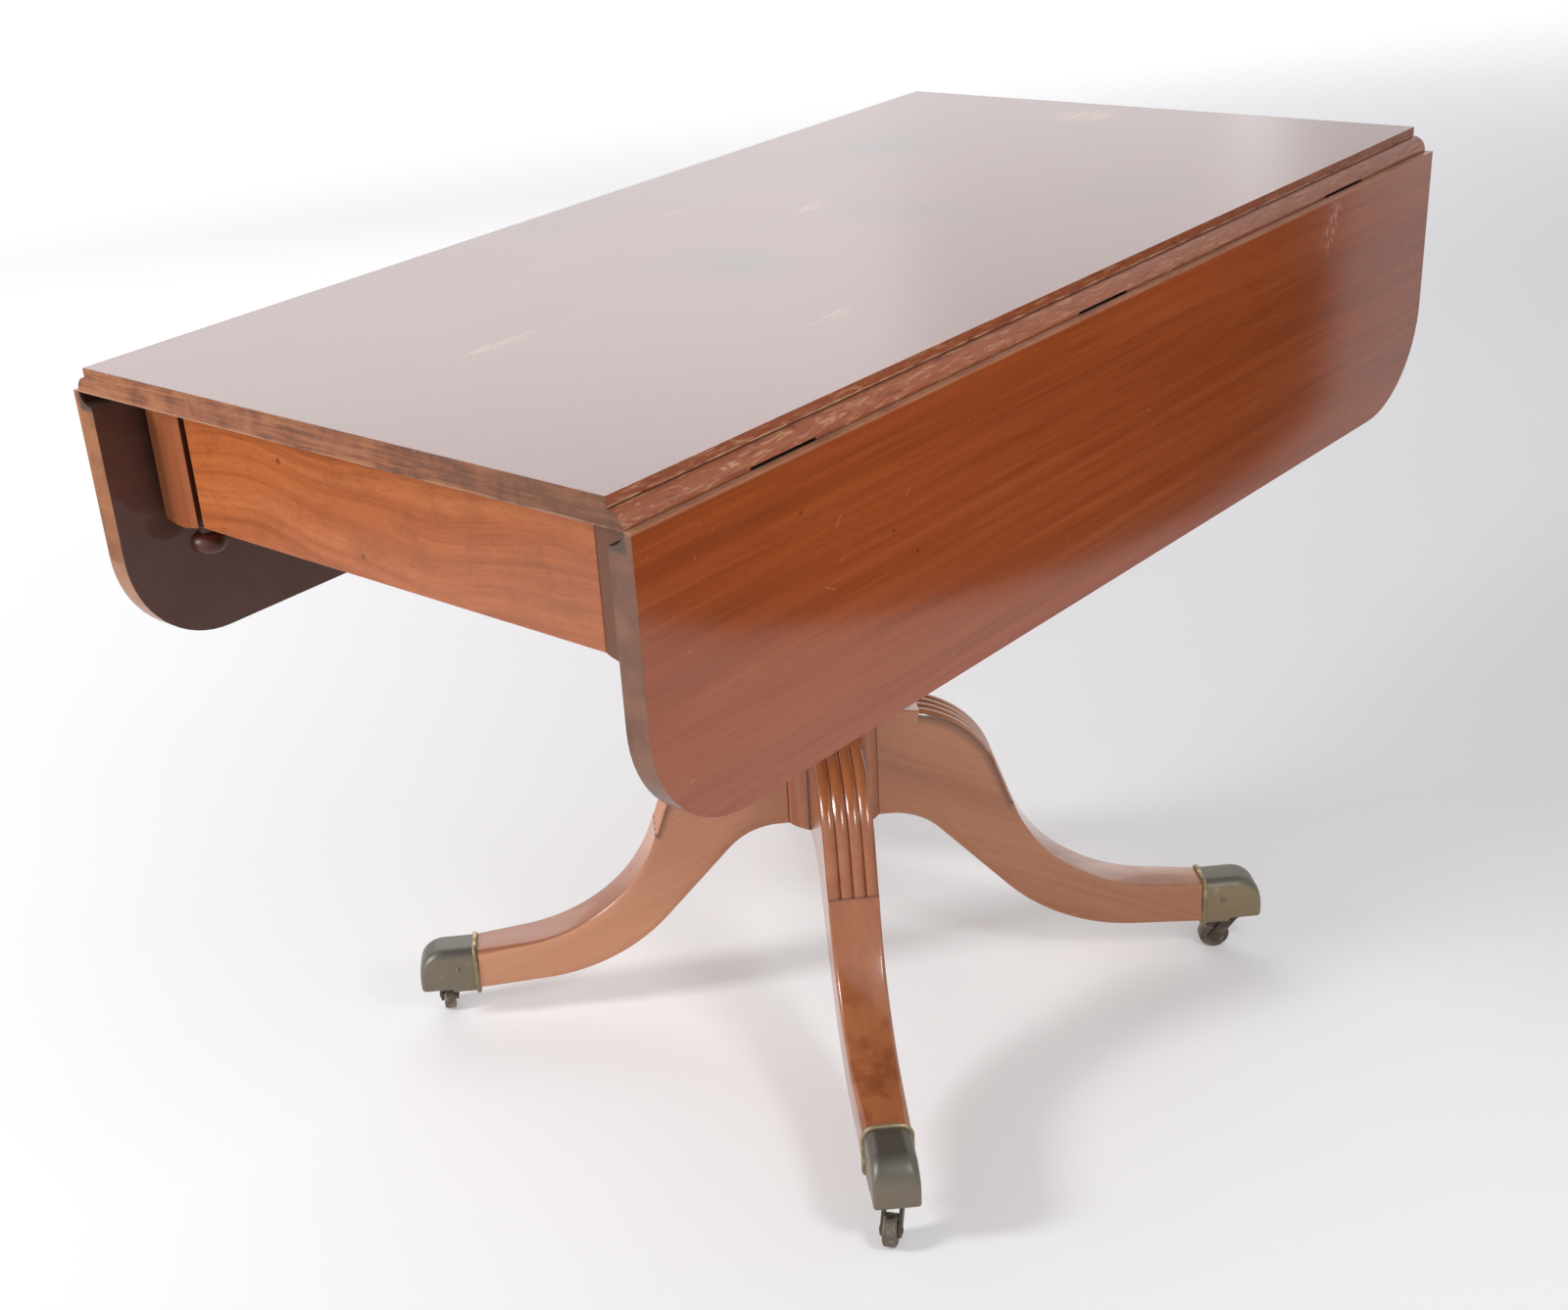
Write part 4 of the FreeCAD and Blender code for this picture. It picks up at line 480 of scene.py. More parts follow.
def leg_marks(corner):
    """Darker colour in the grooves and along the line where the reeds step down, from the depth that each
    leg's mesh carries. The front left leg has a painted reflection that makes it paler towards its foot and
    painted shade on the faces that look up, and the front right one is stained darker low down."""
    def marks(tree, place, colour):
        soil = put(tree, "Attribute", attribute_name="soil", give="Fac")
        # Darker colour in the grooves and at the reeds' step, by their depth.
        colour = stained(tree, colour, "#3a1a10", soil, 0.7)
        if corner.startswith("back"):
            return colour, 0.0
        height = put(tree, "SeparateXYZ", place, give="Z")
        if corner == "front_left":
            facing = put(tree, "SeparateXYZ", put(tree, "TexCoord", give="Normal"), give="Z")
            # Painted reflection: paler towards the foot.
            colour = stained(tree, colour, "#e6a57e", (height, 0.18, 0.08, 0.0, 0.6))
            # Painted shade: darker and redder on the faces that look up.
            colour = stained(tree, colour, "#8c4a2a", (facing, 0.3, 0.8, 0.0, 0.75))
        if corner == "front_right":
            colour = stained(tree, colour, "#a4623c", (height, 0.19, 0.09), 0.3)
            cloud = put(tree, "TexNoise", place, 1 / (31.25 * MM), 4.0)
            colour = stained(tree, colour, "#7c3b20", (cloud, 0.42, 0.62), (height, 0.17, 0.08, 0.0, 0.6))
        return colour, 0.0
    return marks


leg_woods = {}
for corner, (*tones, coat, rough) in LEG_FINISH.items():
    leg_woods[corner] = mahogany("polished_mahogany_leg_" + corner, *tones, turn=(LEG_TURNS[corner], LEG_DIP),
                                 shift=3 + len(leg_woods) * 2.3, rough=rough, coat=coat, contrast=0.4,
                                 uneven=0.02, relief=0.02, marks=leg_marks(corner))
print(len(bpy.data.materials), "wood finishes")

# %% [markdown]
# ## Brass, iron and steel
# The castors are cast brass that has gone dull: a thin brown-green patina lies over the metal, and the metal
# shows through on the edges that are handled. Patina is not metallic, so the metallic value falls where it
# is thick. One cup, at the back right, has been rubbed brighter than the others. The hinges are forged iron,
# dark with rust and old wax, and the screws are worn steel.


# %% Metals
CLOUD_SIZE, PIT_DEEP, PIT_RELIEF = 9 * MM, 0.1 * MM, 0.25
FILM_METALLIC = 0.55


def worn_metal(name, clean, film, film_share, rough, film_rough, grain_mm, upward_shade=None):
    """Bare metal and a dull film, mixed by noise of a real size. The last argument is a darker colour painted
    on the faces that look up, as painted shade."""
    material, tree = new_material(name)
    place = put(tree, "TexCoord", give="Object")
    clouds = put(tree, "TexNoise", place, 1 / CLOUD_SIZE, 5.0, 0.6)
    pits = put(tree, "TexNoise", place, 1 / (grain_mm * MM), 3.0, 0.7)
    thick = put(tree, "MapRange", clouds, 0.62 - film_share * 0.5, 0.82 - film_share * 0.5)
    colour = put(tree, "Mix", thick, clean, film)
    colour = stained(tree, colour, film, (pits, 0.55, 0.75, 0.0, 0.25))
    # Painted shade: faces that look up are darkened.
    if upward_shade:
        facing = put(tree, "SeparateXYZ", put(tree, "TexCoord", give="Normal"), give="Z")
        colour = stained(tree, colour, upward_shade, (facing, 0.1, 0.75, 0.0, 0.85))
    metallic = put(tree, "MapRange", thick, 0.0, 1.0, 1.0, FILM_METALLIC)
    dull = put(tree, "MapRange", thick, 0.0, 1.0, rough, film_rough)
    bump = put(tree, "Bump", Strength=PIT_RELIEF, Distance=PIT_DEEP, Height=pits)
    shader = put(tree, "BsdfPrincipled", Base_Color=colour, Metallic=metallic, Roughness=dull, Normal=bump)
    put(tree, "OutputMaterial", shader)
    return material


# Colour of the painted shade on the faces of the cups that look up.
UPWARD_SHADE = "#585650"
cup_brass = worn_metal("patinated_brass_cup", "#a3967a", "#827867", 0.85, 0.32, 0.42, 1.2, UPWARD_SHADE)
bright_brass = worn_metal("patinated_brass_cup_handled", "#b09c75", "#908064", 0.75, 0.34, 0.44, 1.2, UPWARD_SHADE)
rim_brass = worn_metal("rubbed_brass_rim", "#b5a27c", "#8f8062", 0.6, 0.4, 0.5, 1.0)
wheel_brass = worn_metal("worn_brass_wheel", "#978a7c", "#6b6157", 0.6, 0.35, 0.55, 0.9)
horn_brass = worn_metal("dark_brass_horn", "#83796b", "#5a5147", 0.7, 0.38, 0.6, 1.0)
hinge_iron = worn_metal("forged_iron", "#4a4440", "#33241c", 0.6, 0.45, 0.7, 0.8)
screw_steel = worn_metal("worn_steel", "#7d7872", "#4a3a2e", 0.45, 0.35, 0.6, 0.7)
print(len(bpy.data.materials), "finishes")

# %% [markdown]
# ## Boards with softened arrises
# Every board of the real table has arrises that the plane and two centuries of hands have rounded by about a
# millimetre. The construction's boards are sharp. A merged copy of each one gets a Bevel modifier, which
# catches a thin line of light along each edge, and the copy stands for the board.


# %% Softened copies
def finish_piece(piece, name, body, material, stands_for=()):
    """Sets a finished mesh on its body, gives it its finish and hides the nodes that it stands for."""
    piece.name = name
    piece.data.name = name
    piece.data.materials.clear()
    piece.data.materials.append(material)
    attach(piece, body)
    if stands_for:
        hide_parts(*stands_for)
    return piece


MERGE_WITHIN, FLAT_WITHIN, BEVEL_OVER = 0.002 * MM, math.radians(0.4), math.radians(40)


def softened(node, material, width):
    """A merged copy of a node with its arrises rounded by width millimetres."""
    source = NODES[node]
    work = bmesh.new()
    work.from_mesh(source.data)
    bmesh.ops.remove_doubles(work, verts=work.verts, dist=MERGE_WITHIN)
    bmesh.ops.dissolve_limit(work, angle_limit=FLAT_WITHIN, verts=work.verts, edges=work.edges)
    bmesh.ops.recalc_face_normals(work, faces=work.faces)
    mesh = bpy.data.meshes.new(node)
    work.to_mesh(mesh)
    work.free()
    mesh.polygons.foreach_set("use_smooth", [True] * len(mesh.polygons))
    piece = bpy.data.objects.new(node, mesh)
    bpy.context.scene.collection.objects.link(piece)
    bevel = piece.modifiers.new("rounded_arris", "BEVEL")
    bevel.width = width * MM
    bevel.segments = 2
    bevel.limit_method = "ANGLE"
    bevel.angle_limit = BEVEL_OVER
    flat = piece.modifiers.new("flat_faces", "WEIGHTED_NORMAL")
    flat.weight = 90
    return finish_piece(piece, "soft_" + node, source["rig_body"], material, [node])


SLOTS = {part["node"]: part["material_slot"] for part in frame["record"]["subparts"]}
# Each board's finish and how round its arrises are, in millimetres
BOARDS = {"top_board": (top_wood, 0.9), "drawer_front": (frieze_across, 0.8),
          "end_rail": (frieze_across, 0.8), "cross_bearers": (plain_across, 0.8),
          "pillar_block": (plain_wood, 0.8), "drawer_back": (oak_across, 0.5),
          "drawer_bottom": (oak_across, 0.3), "drawer_kickers": (plain_wood, 0.5)}
CORNER_BOARDS = {"corner_block_": (block_wood, 0.9), "fly_bracket_": (plain_wood, 0.6)}
SIDE_BOARDS = {"leaf_": (leaf_wood, 1.2), "side_rail_": (plain_wood, 0.5), "side_facing_": (plain_wood, 0.6),
               "drawer_side_": (oak_along, 0.5), "drawer_runner_": (plain_wood, 0.5)}
for node, (wood, width) in BOARDS.items():
    softened(node, wood, width)
for boards, ends in ((CORNER_BOARDS, CORNERS), (SIDE_BOARDS, ("left", "right"))):
    for node, (wood, width) in boards.items():
        for end in ends:
            softened(node + end, wood, width)

# %% [markdown]
# ## Surfaces from numbers
# The turned, swept and cast pieces are surfaces of two parameters. A function works out every ring of points
# as one array, and one helper turns rings into a closed mesh with its faces outwards.


# %% Rings to mesh
SHARP_OVER = math.radians(32)


def ring_faces(rings, around, offset=0):
    """Quads between neighbouring closed rings and one cap at each end, as lists of point numbers."""
    index = offset + np.arange(rings * around).reshape(rings, around)
    nxt = np.roll(index, -1, axis=1)
    quads = np.stack([index[:-1], nxt[:-1], nxt[1:], index[1:]], axis=-1).reshape(-1, 4)
    return quads.tolist() + [index[0][::-1].tolist(), index[-1].tolist()]


def enclosed(points):
    """Volume inside the rings: the sum over the quads of a . (b x c) / 6, with the ends fanned."""
    a, b = points[:-1], np.roll(points[:-1], -1, axis=1)
    d, c = points[1:], np.roll(points[1:], -1, axis=1)
    total = (a * np.cross(b, c)).sum() + (a * np.cross(c, d)).sum()
    for ring, sign in ((points[0], -1), (points[-1], 1)):
        middle = ring.mean(axis=0)
        total += sign * (middle * np.cross(ring, np.roll(ring, -1, axis=0))).sum()
    return total / 6


def mesh_of_rings(name, shells):
    """A mesh from one or more stacks of rings, each an array (rings, around, 3) in metres. A fourth number at
    a point is how much darker the colour is made there, from 0 to 1."""
    points, faces, soil, offset = [], [], [], 0
    for shell in shells:
        shell = np.asarray(shell, float)
        shell, depth = shell[..., :3], shell[..., 3] if shell.shape[-1] == 4 else np.zeros(shell.shape[:2])
        if enclosed(shell) < 0:
            shell, depth = shell[:, ::-1], depth[:, ::-1]
        soil.append(depth.ravel())
        faces += ring_faces(shell.shape[0], shell.shape[1], offset)
        points.append(shell.reshape(-1, 3))
        offset += len(points[-1])
    mesh = bpy.data.meshes.new(name)
    mesh.from_pydata(np.concatenate(points).tolist(), [], faces)
    mesh.polygons.foreach_set("use_smooth", [True] * len(mesh.polygons))
    mesh.attributes.new("soil", "FLOAT", "POINT").data.foreach_set("value", np.concatenate(soil))
    mesh.set_sharp_from_angle(angle=SHARP_OVER)
    piece = bpy.data.objects.new(name, mesh)
    bpy.context.scene.collection.objects.link(piece)
    return piece


print("ring helpers ready")


# %% Profiles
ARC_STEPS = 12


def bend(start, stop, radius, side):
    """Points of an arc from start to stop that bulges left or right of the way it runs."""
    start, stop = np.array(start, float), np.array(stop, float)
    chord = stop - start
    length = np.hypot(*chord)
    turn = 1 if side == "left" else -1
    normal = np.array([-chord[1], chord[0]]) / length * turn
    centre = (start + stop) / 2 - normal * math.sqrt(max(radius ** 2 - length ** 2 / 4, 0))
    begin = math.atan2(*(start - centre)[::-1])
    sweep = 2 * math.asin(min(1, length / 2 / radius))
    angles = begin - turn * np.linspace(0, sweep, ARC_STEPS + 1)
    return centre + radius * np.stack([np.cos(angles), np.sin(angles)], axis=1)


def outline(corners):
    """Points along a run of corners (x, y) or (x, y, radius, side), with the arcs worked out."""
    points = [np.array([corners[0][:2]], float)]
    for corner, following in zip(corners, corners[1:]):
        if len(corner) == 2:
            points.append(np.array([following[:2]], float))
        else:
            points.append(bend(corner[:2], following[:2], corner[2], corner[3])[1:])
    return np.concatenate(points)


def turned(profile, around, centre=(0, 0, 0)):
    """A lathe: every (radius, height) of the profile swept round the vertical axis, in millimetres."""
    angle = np.linspace(0, 2 * math.pi, around, endpoint=False)
    radius = np.maximum(profile[:, 0], 0.02)[:, None]
    x = centre[0] + radius * np.cos(angle)
    y = centre[1] + radius * np.sin(angle)
    z = centre[2] + np.broadcast_to(profile[:, 1][:, None], x.shape)
    return np.stack([x, y, z], axis=-1) * MM


print("arcs are drawn in", ARC_STEPS, "steps")

# %% [markdown]
# ## The turned column and the bun finials
# Both came off a lathe, so each is a profile carried round an axis. The column has a plain drum that the legs
# are dovetailed into, then a cove, a vase, a ring and a flared head under the frame.

# %% Column and buns
ROOT_FOOT, ROOT_HEAD = 190.4, 295.1
FRIEZE_FOOT = 590
column_profile = outline([
    (0, ROOT_FOOT + 0.3), (47, ROOT_FOOT + 0.3), (48, ROOT_FOOT + 1.3), (48, ROOT_HEAD, 6, "right"),
    (42, ROOT_HEAD + 6, 16, "left"), (27, ROOT_HEAD + 22, 40, "right"), (45, ROOT_HEAD + 70, 75, "right"),
    (33, ROOT_HEAD + 118, 220, "left"), (21, ROOT_HEAD + 203), (23, ROOT_HEAD + 203, 6, "right"),
    (29, ROOT_HEAD + 209, 6, "right"), (23, ROOT_HEAD + 215), (21, ROOT_HEAD + 215, 60, "left"),
    (51, FRIEZE_FOOT - 20), (52, FRIEZE_FOOT - 19), (52, FRIEZE_FOOT - 0.2), (0, FRIEZE_FOOT - 0.2)])
column = mesh_of_rings("column", [turned(column_profile, 96)])
finish_piece(column, "turned_column", "table", column_wood, ["column"])

BUN_FOOT = 558.5
BUN_X, BUN_Y = 239, 459
bun_profile = outline([(0, 0), (6.25, 0, 8.5, "right"), (14.75, 8.5, 8.5, "right"), (6.25, 17), (7.2, 17.6),
                       (7.2, 23.4), (0, 23.4)])
bun_profile[:, 1] += BUN_FOOT
buns = [turned(bun_profile, 40, (x, y, 0)) for x in (-BUN_X, BUN_X) for y in (-BUN_Y, BUN_Y)]
buns = mesh_of_rings("buns", buns)
finish_piece(buns, "bun_finials_turned", "table", bun_wood, ["bun_finials"])
print("column points", len(column.data.vertices))

# %% [markdown]
# ## Sabre legs with reeded knees
# Each leg was sawn from a plank to a side view, tapered a little in plan, and carved with four reeds over the
# knee. The surface is worked out the same way. A station runs along the top curve and along the underside
# together. At each station a loop goes over the top, down one side, under and up the other. Where the plain
# sweep meets the reeds, its top grows square and rises, so that the step between them is small.

# %% Leg curves
LEG_REACH = 345
FOOT_TOP, FOOT_SLOPE, FOOT_RUN, SWEEP_ROUND = 80.5, 6, 46.9, 160
KNEE_SLOPE, KNEE_RUN, KNEE_ROUND, KNEE_END = 70, 45, 95, 24
UNDER_FOOT, UNDER_SLOPE, UNDER_RUN, HOLLOW_ROUND = 40.5, 4, 64.2, 183
SHANK_SLOPE, SHANK_RUN, SHANK_ROUND, SHANK_END = 47, 91.6, 65, 12
REED_STEP = 1.2


def chained(start, moves):
    """A curve of straight runs and tangent arcs from a start (s, z) towards the column, sampled densely.
    A move is ("run", slope, length) or ("arc", from slope, to slope, radius, cup), slopes in degrees."""
    points = [np.array([start], float)]
    for kind, first, *rest in moves:
        s, z = points[-1][-1]
        share = np.linspace(0, 1, 161)[1:, None]
        begin = math.radians(first)
        if kind == "run":
            ahead = np.array([-math.cos(begin), math.sin(begin)])
            points.append(np.array([s, z]) + share * rest[0] * ahead)
            continue
        last, radius, cup = rest
        slope = np.radians(first + (last - first) * share[:, 0])
        ds = radius * cup * (np.sin(slope) - math.sin(begin))
        dz = radius * cup * (math.cos(begin) - np.cos(slope))
        points.append(np.stack([s - ds, z + dz], axis=1))
    return np.concatenate(points)


sweep_up = chained((LEG_REACH, FOOT_TOP), [("run", FOOT_SLOPE, FOOT_RUN),
                                           ("arc", FOOT_SLOPE, KNEE_SLOPE, SWEEP_ROUND, 1)])
steep = math.radians(KNEE_SLOPE)
reed_end = sweep_up[-1] + REED_STEP * np.array([math.sin(steep), math.cos(steep)])
knee_up = chained(reed_end, [("run", KNEE_SLOPE, KNEE_RUN), ("arc", KNEE_SLOPE, 0, KNEE_ROUND, -1),
                             ("run", 0, KNEE_END)])
under_up = chained((LEG_REACH, UNDER_FOOT), [
    ("run", UNDER_SLOPE, UNDER_RUN), ("arc", UNDER_SLOPE, SHANK_SLOPE, HOLLOW_ROUND, 1),
    ("run", SHANK_SLOPE, SHANK_RUN), ("arc", SHANK_SLOPE, 0, SHANK_ROUND, -1), ("run", 0, SHANK_END)])
print("leg: sweep ends", sweep_up[-1], "knee ends", knee_up[-1], "underside ends", under_up[-1])


# %% Stations along the leg
def path_length(curve):
    """Distance along a curve at each of its points."""
    return np.concatenate([[0], np.cumsum(np.hypot(*np.diff(curve, axis=0).T))])


def at_length(curve, lengths):
    """Points and unit normals at given distances along a curve, each normal a quarter turn from the way the
    curve runs there."""
    along = path_length(curve)
    behind, place, ahead = (np.stack([np.interp(lengths + step, along, curve[:, k]) for k in (0, 1)], axis=1)
                            for step in (-0.5, 0, 0.5))
    run = ahead - behind
    run /= np.hypot(*run.T)[:, None]
    return place, np.stack([run[:, 1], -run[:, 0]], axis=1)


# Distances along the top and along the underside that belong together. The knee's start faces a place
# some way up the straight shank
SHANK_MATCH = 40
sweep_long, knee_long, under_long = (path_length(curve)[-1] for curve in (sweep_up, knee_up, under_up))
hollow_long = UNDER_RUN + HOLLOW_ROUND * math.radians(SHANK_SLOPE - UNDER_SLOPE)
top_match = [0, FOOT_RUN, sweep_long, sweep_long + KNEE_RUN,
             sweep_long + KNEE_RUN + KNEE_ROUND * math.radians(KNEE_SLOPE), sweep_long + knee_long]
under_match = [0, UNDER_RUN, hollow_long + SHANK_MATCH, hollow_long + SHANK_RUN,
               hollow_long + SHANK_RUN + SHANK_ROUND * math.radians(SHANK_SLOPE), under_long]


def leg_stations(curve, lengths, before):
    """Matched points on the top and the underside. The normals of the top point out of the wood and those of
    the underside into it."""
    top, top_out = at_length(curve, lengths)
    under, under_in = at_length(under_up, np.interp(lengths + before, top_match, under_match))
    upward, inward = (np.where(((top - under) * way).sum(axis=1, keepdims=True) < 0, -1, 1)
                      for way in (top_out, under_in))
    return top, top_out * upward, under, under_in * inward


print("leg lengths:", sweep_long, "sweep", knee_long, "knee", under_long, "underside")

# %% Leg surface
REEDS, REED_PITCH, REED_DEEP = 4, 11.1, 2.6
REED_ROUND = (REED_PITCH ** 2 / 4 + REED_DEEP ** 2) / (2 * REED_DEEP)
REED_START = 12
ROOT_WIDE, FOOT_WIDE, ROOT_AT = 47, 41, 30
TOP_POINTS, FLANK_POINTS = 73, 8
# The plain top's shoulders at the shank, how much rounder they get over the foot, and how much squarer by
# the reeds, then the height of its crown
SHOULDER, FOOT_ROUNDER, REED_SQUARER, CROWN = 3.6, 3.4, 2.8, 1.3
ROUNDER_FROM, BLEND_LONG, UNDER_SOFT = 270, 40, 1.6


def rounded_off(wide, half, soft):
    """How far a quarter circle of radius soft falls at each edge of a width: r - sqrt(r^2 - over^2)."""
    over = np.clip(np.abs(wide) - (half - soft), 0, soft)
    return soft - np.sqrt(soft ** 2 - over ** 2)


def leg_loop(stations, reeded, step=0.0):
    """Loops of one stretch of leg, over the top, down the right flank, under and up the left one. Over the
    reeds the top sinks by the gap between a circle and its chord. Close to the reeds the plain top is
    squarer, and it rises by step to meet them."""
    top, top_out, under, under_in = stations
    s = top[:, :1]
    half = (ROOT_WIDE - (s - ROOT_AT) * (ROOT_WIDE - FOOT_WIDE) / (LEG_REACH - ROOT_AT)) / 2
    wide = half * np.linspace(-1, 1, TOP_POINTS)
    if reeded:
        nearest = np.clip(np.round(wide / REED_PITCH - 0.5), -REEDS / 2, REEDS / 2 - 1) + 0.5
        off = np.minimum(np.abs(wide - nearest * REED_PITCH), REED_ROUND * 0.999)
        sink = REED_ROUND - np.sqrt(REED_ROUND ** 2 - off ** 2)
    else:
        near = np.clip(1 - (s - reed_end[0]) / BLEND_LONG, 0, 1) ** 2
        rounder = np.clip((s - ROUNDER_FROM) / (LEG_REACH - ROUNDER_FROM), 0, 1) ** 1.5
        soft = SHOULDER + FOOT_ROUNDER * rounder - REED_SQUARER * near
        sink = rounded_off(wide, half, soft) + CROWN * (1 - near) * (wide / half) ** 2 - step * near
    crown = top[:, None] - top_out[:, None] * sink[..., None]
    under_wide = half * np.concatenate([np.linspace(1, 0.9, 6), np.linspace(0.8, -0.8, 9),
                                        np.linspace(-0.9, -1, 6)])
    base = under[:, None] + under_in[:, None] * rounded_off(under_wide, half, UNDER_SOFT)[..., None]
    share = np.linspace(0, 1, FLANK_POINTS + 2)[1:-1, None]
    right = crown[:, -1:] * (1 - share) + base[:, :1] * share
    left = base[:, -1:] * (1 - share) + crown[:, :1] * share
    flat = np.concatenate([crown, right, base, left], axis=1)
    flank = np.repeat(half, FLANK_POINTS, axis=1)
    sideways = np.concatenate([wide, flank, under_wide, -flank], axis=1)
    # How much darker the colour is made in each groove, by its depth.
    soil = np.zeros(sideways.shape)
    if reeded:
        soil[:, :TOP_POINTS] = np.clip(sink / REED_DEEP * 2.2 - 1.2, 0, 1) ** 2
    return np.stack([flat[..., 0], sideways, flat[..., 1], soil], axis=-1)


print("reed radius", REED_ROUND, "for reeds", REED_PITCH, "wide and", REED_DEEP, "deep")

# %% Four legs
LOOPS, ROOT_LOOPS, REED_LIP = 90, 24, 0.15
# The second number darkens the colour along the line where the reeds step down.
STEP_SHARE, STEP_DARKENING = 0.8, 0.8
reed_from = KNEE_RUN + KNEE_ROUND * math.radians(KNEE_SLOPE - REED_START)


def leg_rings():
    """The whole leg from the castor's mouth to inside the drum, as one stack of loops."""
    plain = leg_stations(sweep_up, np.linspace(0, sweep_long, LOOPS), 0)
    plain = leg_loop(plain, False, REED_STEP * STEP_SHARE)
    reeded = leg_loop(leg_stations(knee_up, np.linspace(0, reed_from, LOOPS), sweep_long), True)
    root = leg_stations(knee_up, np.linspace(reed_from + REED_LIP, knee_long, ROOT_LOOPS), sweep_long)
    plain[-1, :TOP_POINTS, 3] = reeded[0, :TOP_POINTS, 3] = STEP_DARKENING
    return np.concatenate([plain, reeded, leg_loop(root, False)])


def set_round(points, heading, place=(0, 0)):
    """Turns (s, w, z) in millimetres about the vertical by a heading in degrees, and sets it in metres."""
    angle = math.radians(heading)
    x = points[..., 0] * math.cos(angle) - points[..., 1] * math.sin(angle) + place[0]
    y = points[..., 0] * math.sin(angle) + points[..., 1] * math.cos(angle) + place[1]
    return np.concatenate([np.stack([x, y, points[..., 2]], axis=-1) * MM, points[..., 3:]], axis=-1)


leg_shape = leg_rings()
for corner, heading in LEG_TURNS.items():
    leg = mesh_of_rings("leg", [set_round(leg_shape, heading)])
    finish_piece(leg, "sabre_leg_" + corner, "table", leg_woods[corner], ["leg_" + corner])
print("leg loops", leg_shape.shape, "lowest", leg_shape[..., 2].min(), "highest", leg_shape[..., 2].max())

# %% [markdown]
# ## Box castors
# Each foot ends in a cast brass box with a raised rim at its mouth and a rounded toe. Below it a swivelling
# horn holds a small wheel. The box is a stack of rounded rectangles whose top follows the toe's arc. The
# rim is a half-round bead carried round the mouth.

# %% Shapes of the castor cup
CUP_FROM, CUP_LEDGE, CUP_TO = 345, 372, 402
CUP_LOW, CUP_TOE_LOW, CUP_HIGH = 36.5, 39.5, 81.5
CUP_HALF, TOE_ROUND, CUP_SOFT, CUP_TOP_SOFT, CUP_END_SOFT = 19.5, 25, 2.6, 10.5, 3.5
RIM_HALF, RIM_LEAST, RIM_PROUD = 2.25, 0.6, 2.05
CORNER_POINTS = 11


def rounded_rectangle(half, low, high, soft, top_soft):
    """Loop of (w, z) round a rectangle with arc corners, the upper two with a radius of their own. All
    five measures are arrays over stations, or one number for all of them."""
    measures = np.broadcast_arrays(half, low, high, soft, top_soft)
    half, low, high, soft, top_soft = (measure[:, None] for measure in measures)
    quarter = np.linspace(0, math.pi / 2, CORNER_POINTS)
    loops = []
    for index, (sx, sz) in enumerate(((1, 1), (-1, 1), (-1, -1), (1, -1))):
        angle = quarter + index * math.pi / 2
        turn = top_soft if sz > 0 else soft
        centre_w = sx * (half - turn)
        centre_z = high - turn if sz > 0 else low + turn
        loops.append(np.stack([centre_w + turn * np.cos(angle), centre_z + turn * np.sin(angle)], axis=-1))
    return np.concatenate(loops, axis=1)


def cup_rings():
    """The cast box along s: the top follows the toe's arc and the last stations close with a soft edge."""
    s = np.concatenate([np.linspace(CUP_FROM + 2, CUP_LEDGE - 0.2, 8),
                        np.linspace(CUP_LEDGE + 0.2, CUP_TO - TOE_ROUND, 6),
                        CUP_TO - TOE_ROUND * (1 - np.sin(np.linspace(0.05, 1, 26) * math.pi / 2) * 0.999)])
    toe = np.clip(s - (CUP_TO - TOE_ROUND), 0, TOE_ROUND)
    high = CUP_HIGH - TOE_ROUND + np.sqrt(np.maximum(TOE_ROUND ** 2 - toe ** 2, 0))
    near = np.clip(s - (CUP_TO - CUP_END_SOFT), 0, CUP_END_SOFT - 0.01)
    pinch = CUP_END_SOFT - np.sqrt(CUP_END_SOFT ** 2 - near ** 2)
    low = np.where(s > CUP_LEDGE, CUP_TOE_LOW, CUP_LOW) + pinch
    loops = rounded_rectangle(CUP_HALF - pinch, low, high, CUP_SOFT, CUP_TOP_SOFT)
    return np.concatenate([np.broadcast_to(s[:, None, None], loops.shape[:2] + (1,)), loops], axis=-1)


def rim_rings():
    """A half-round bead round the mouth, as stations of growing and shrinking rounded rectangles."""
    angle = np.linspace(0, math.pi, 13)
    s = CUP_FROM + RIM_HALF - RIM_HALF * np.cos(angle)
    proud = RIM_LEAST + RIM_PROUD * np.sin(angle)
    loops = rounded_rectangle(CUP_HALF + proud, CUP_LOW - proud, CUP_HIGH + proud, CUP_SOFT + proud,
                              CUP_TOP_SOFT + proud)
    return np.concatenate([np.broadcast_to(s[:, None, None], loops.shape[:2] + (1,)), loops], axis=-1)


SWIVEL_AT = 379
boss_profile = outline([(0, 36.6), (8.7, 36.6), (9.4, 37.3), (9.4, 41), (0, 41)])
cup_shape, rim_shape = cup_rings(), rim_rings()
# The round boss under the toe, which the horn turns on
boss_shape = turned(boss_profile, 40, (SWIVEL_AT, 0, 0)) / MM
print("cup", cup_shape.shape, "rim", rim_shape.shape, "boss", boss_shape.shape)

# %% Castor cups
for corner, heading in LEG_TURNS.items():
    cup = mesh_of_rings("cup", [set_round(shape, heading) for shape in (cup_shape, boss_shape)])
    brass = bright_brass if corner == "back_right" else cup_brass
    finish_piece(cup, "castor_box_" + corner, "table", brass, ["castor_cup_" + corner])
    rim = mesh_of_rings("rim", [set_round(rim_shape, heading)])
    finish_piece(rim, "castor_rim_" + corner, "table", rim_brass)

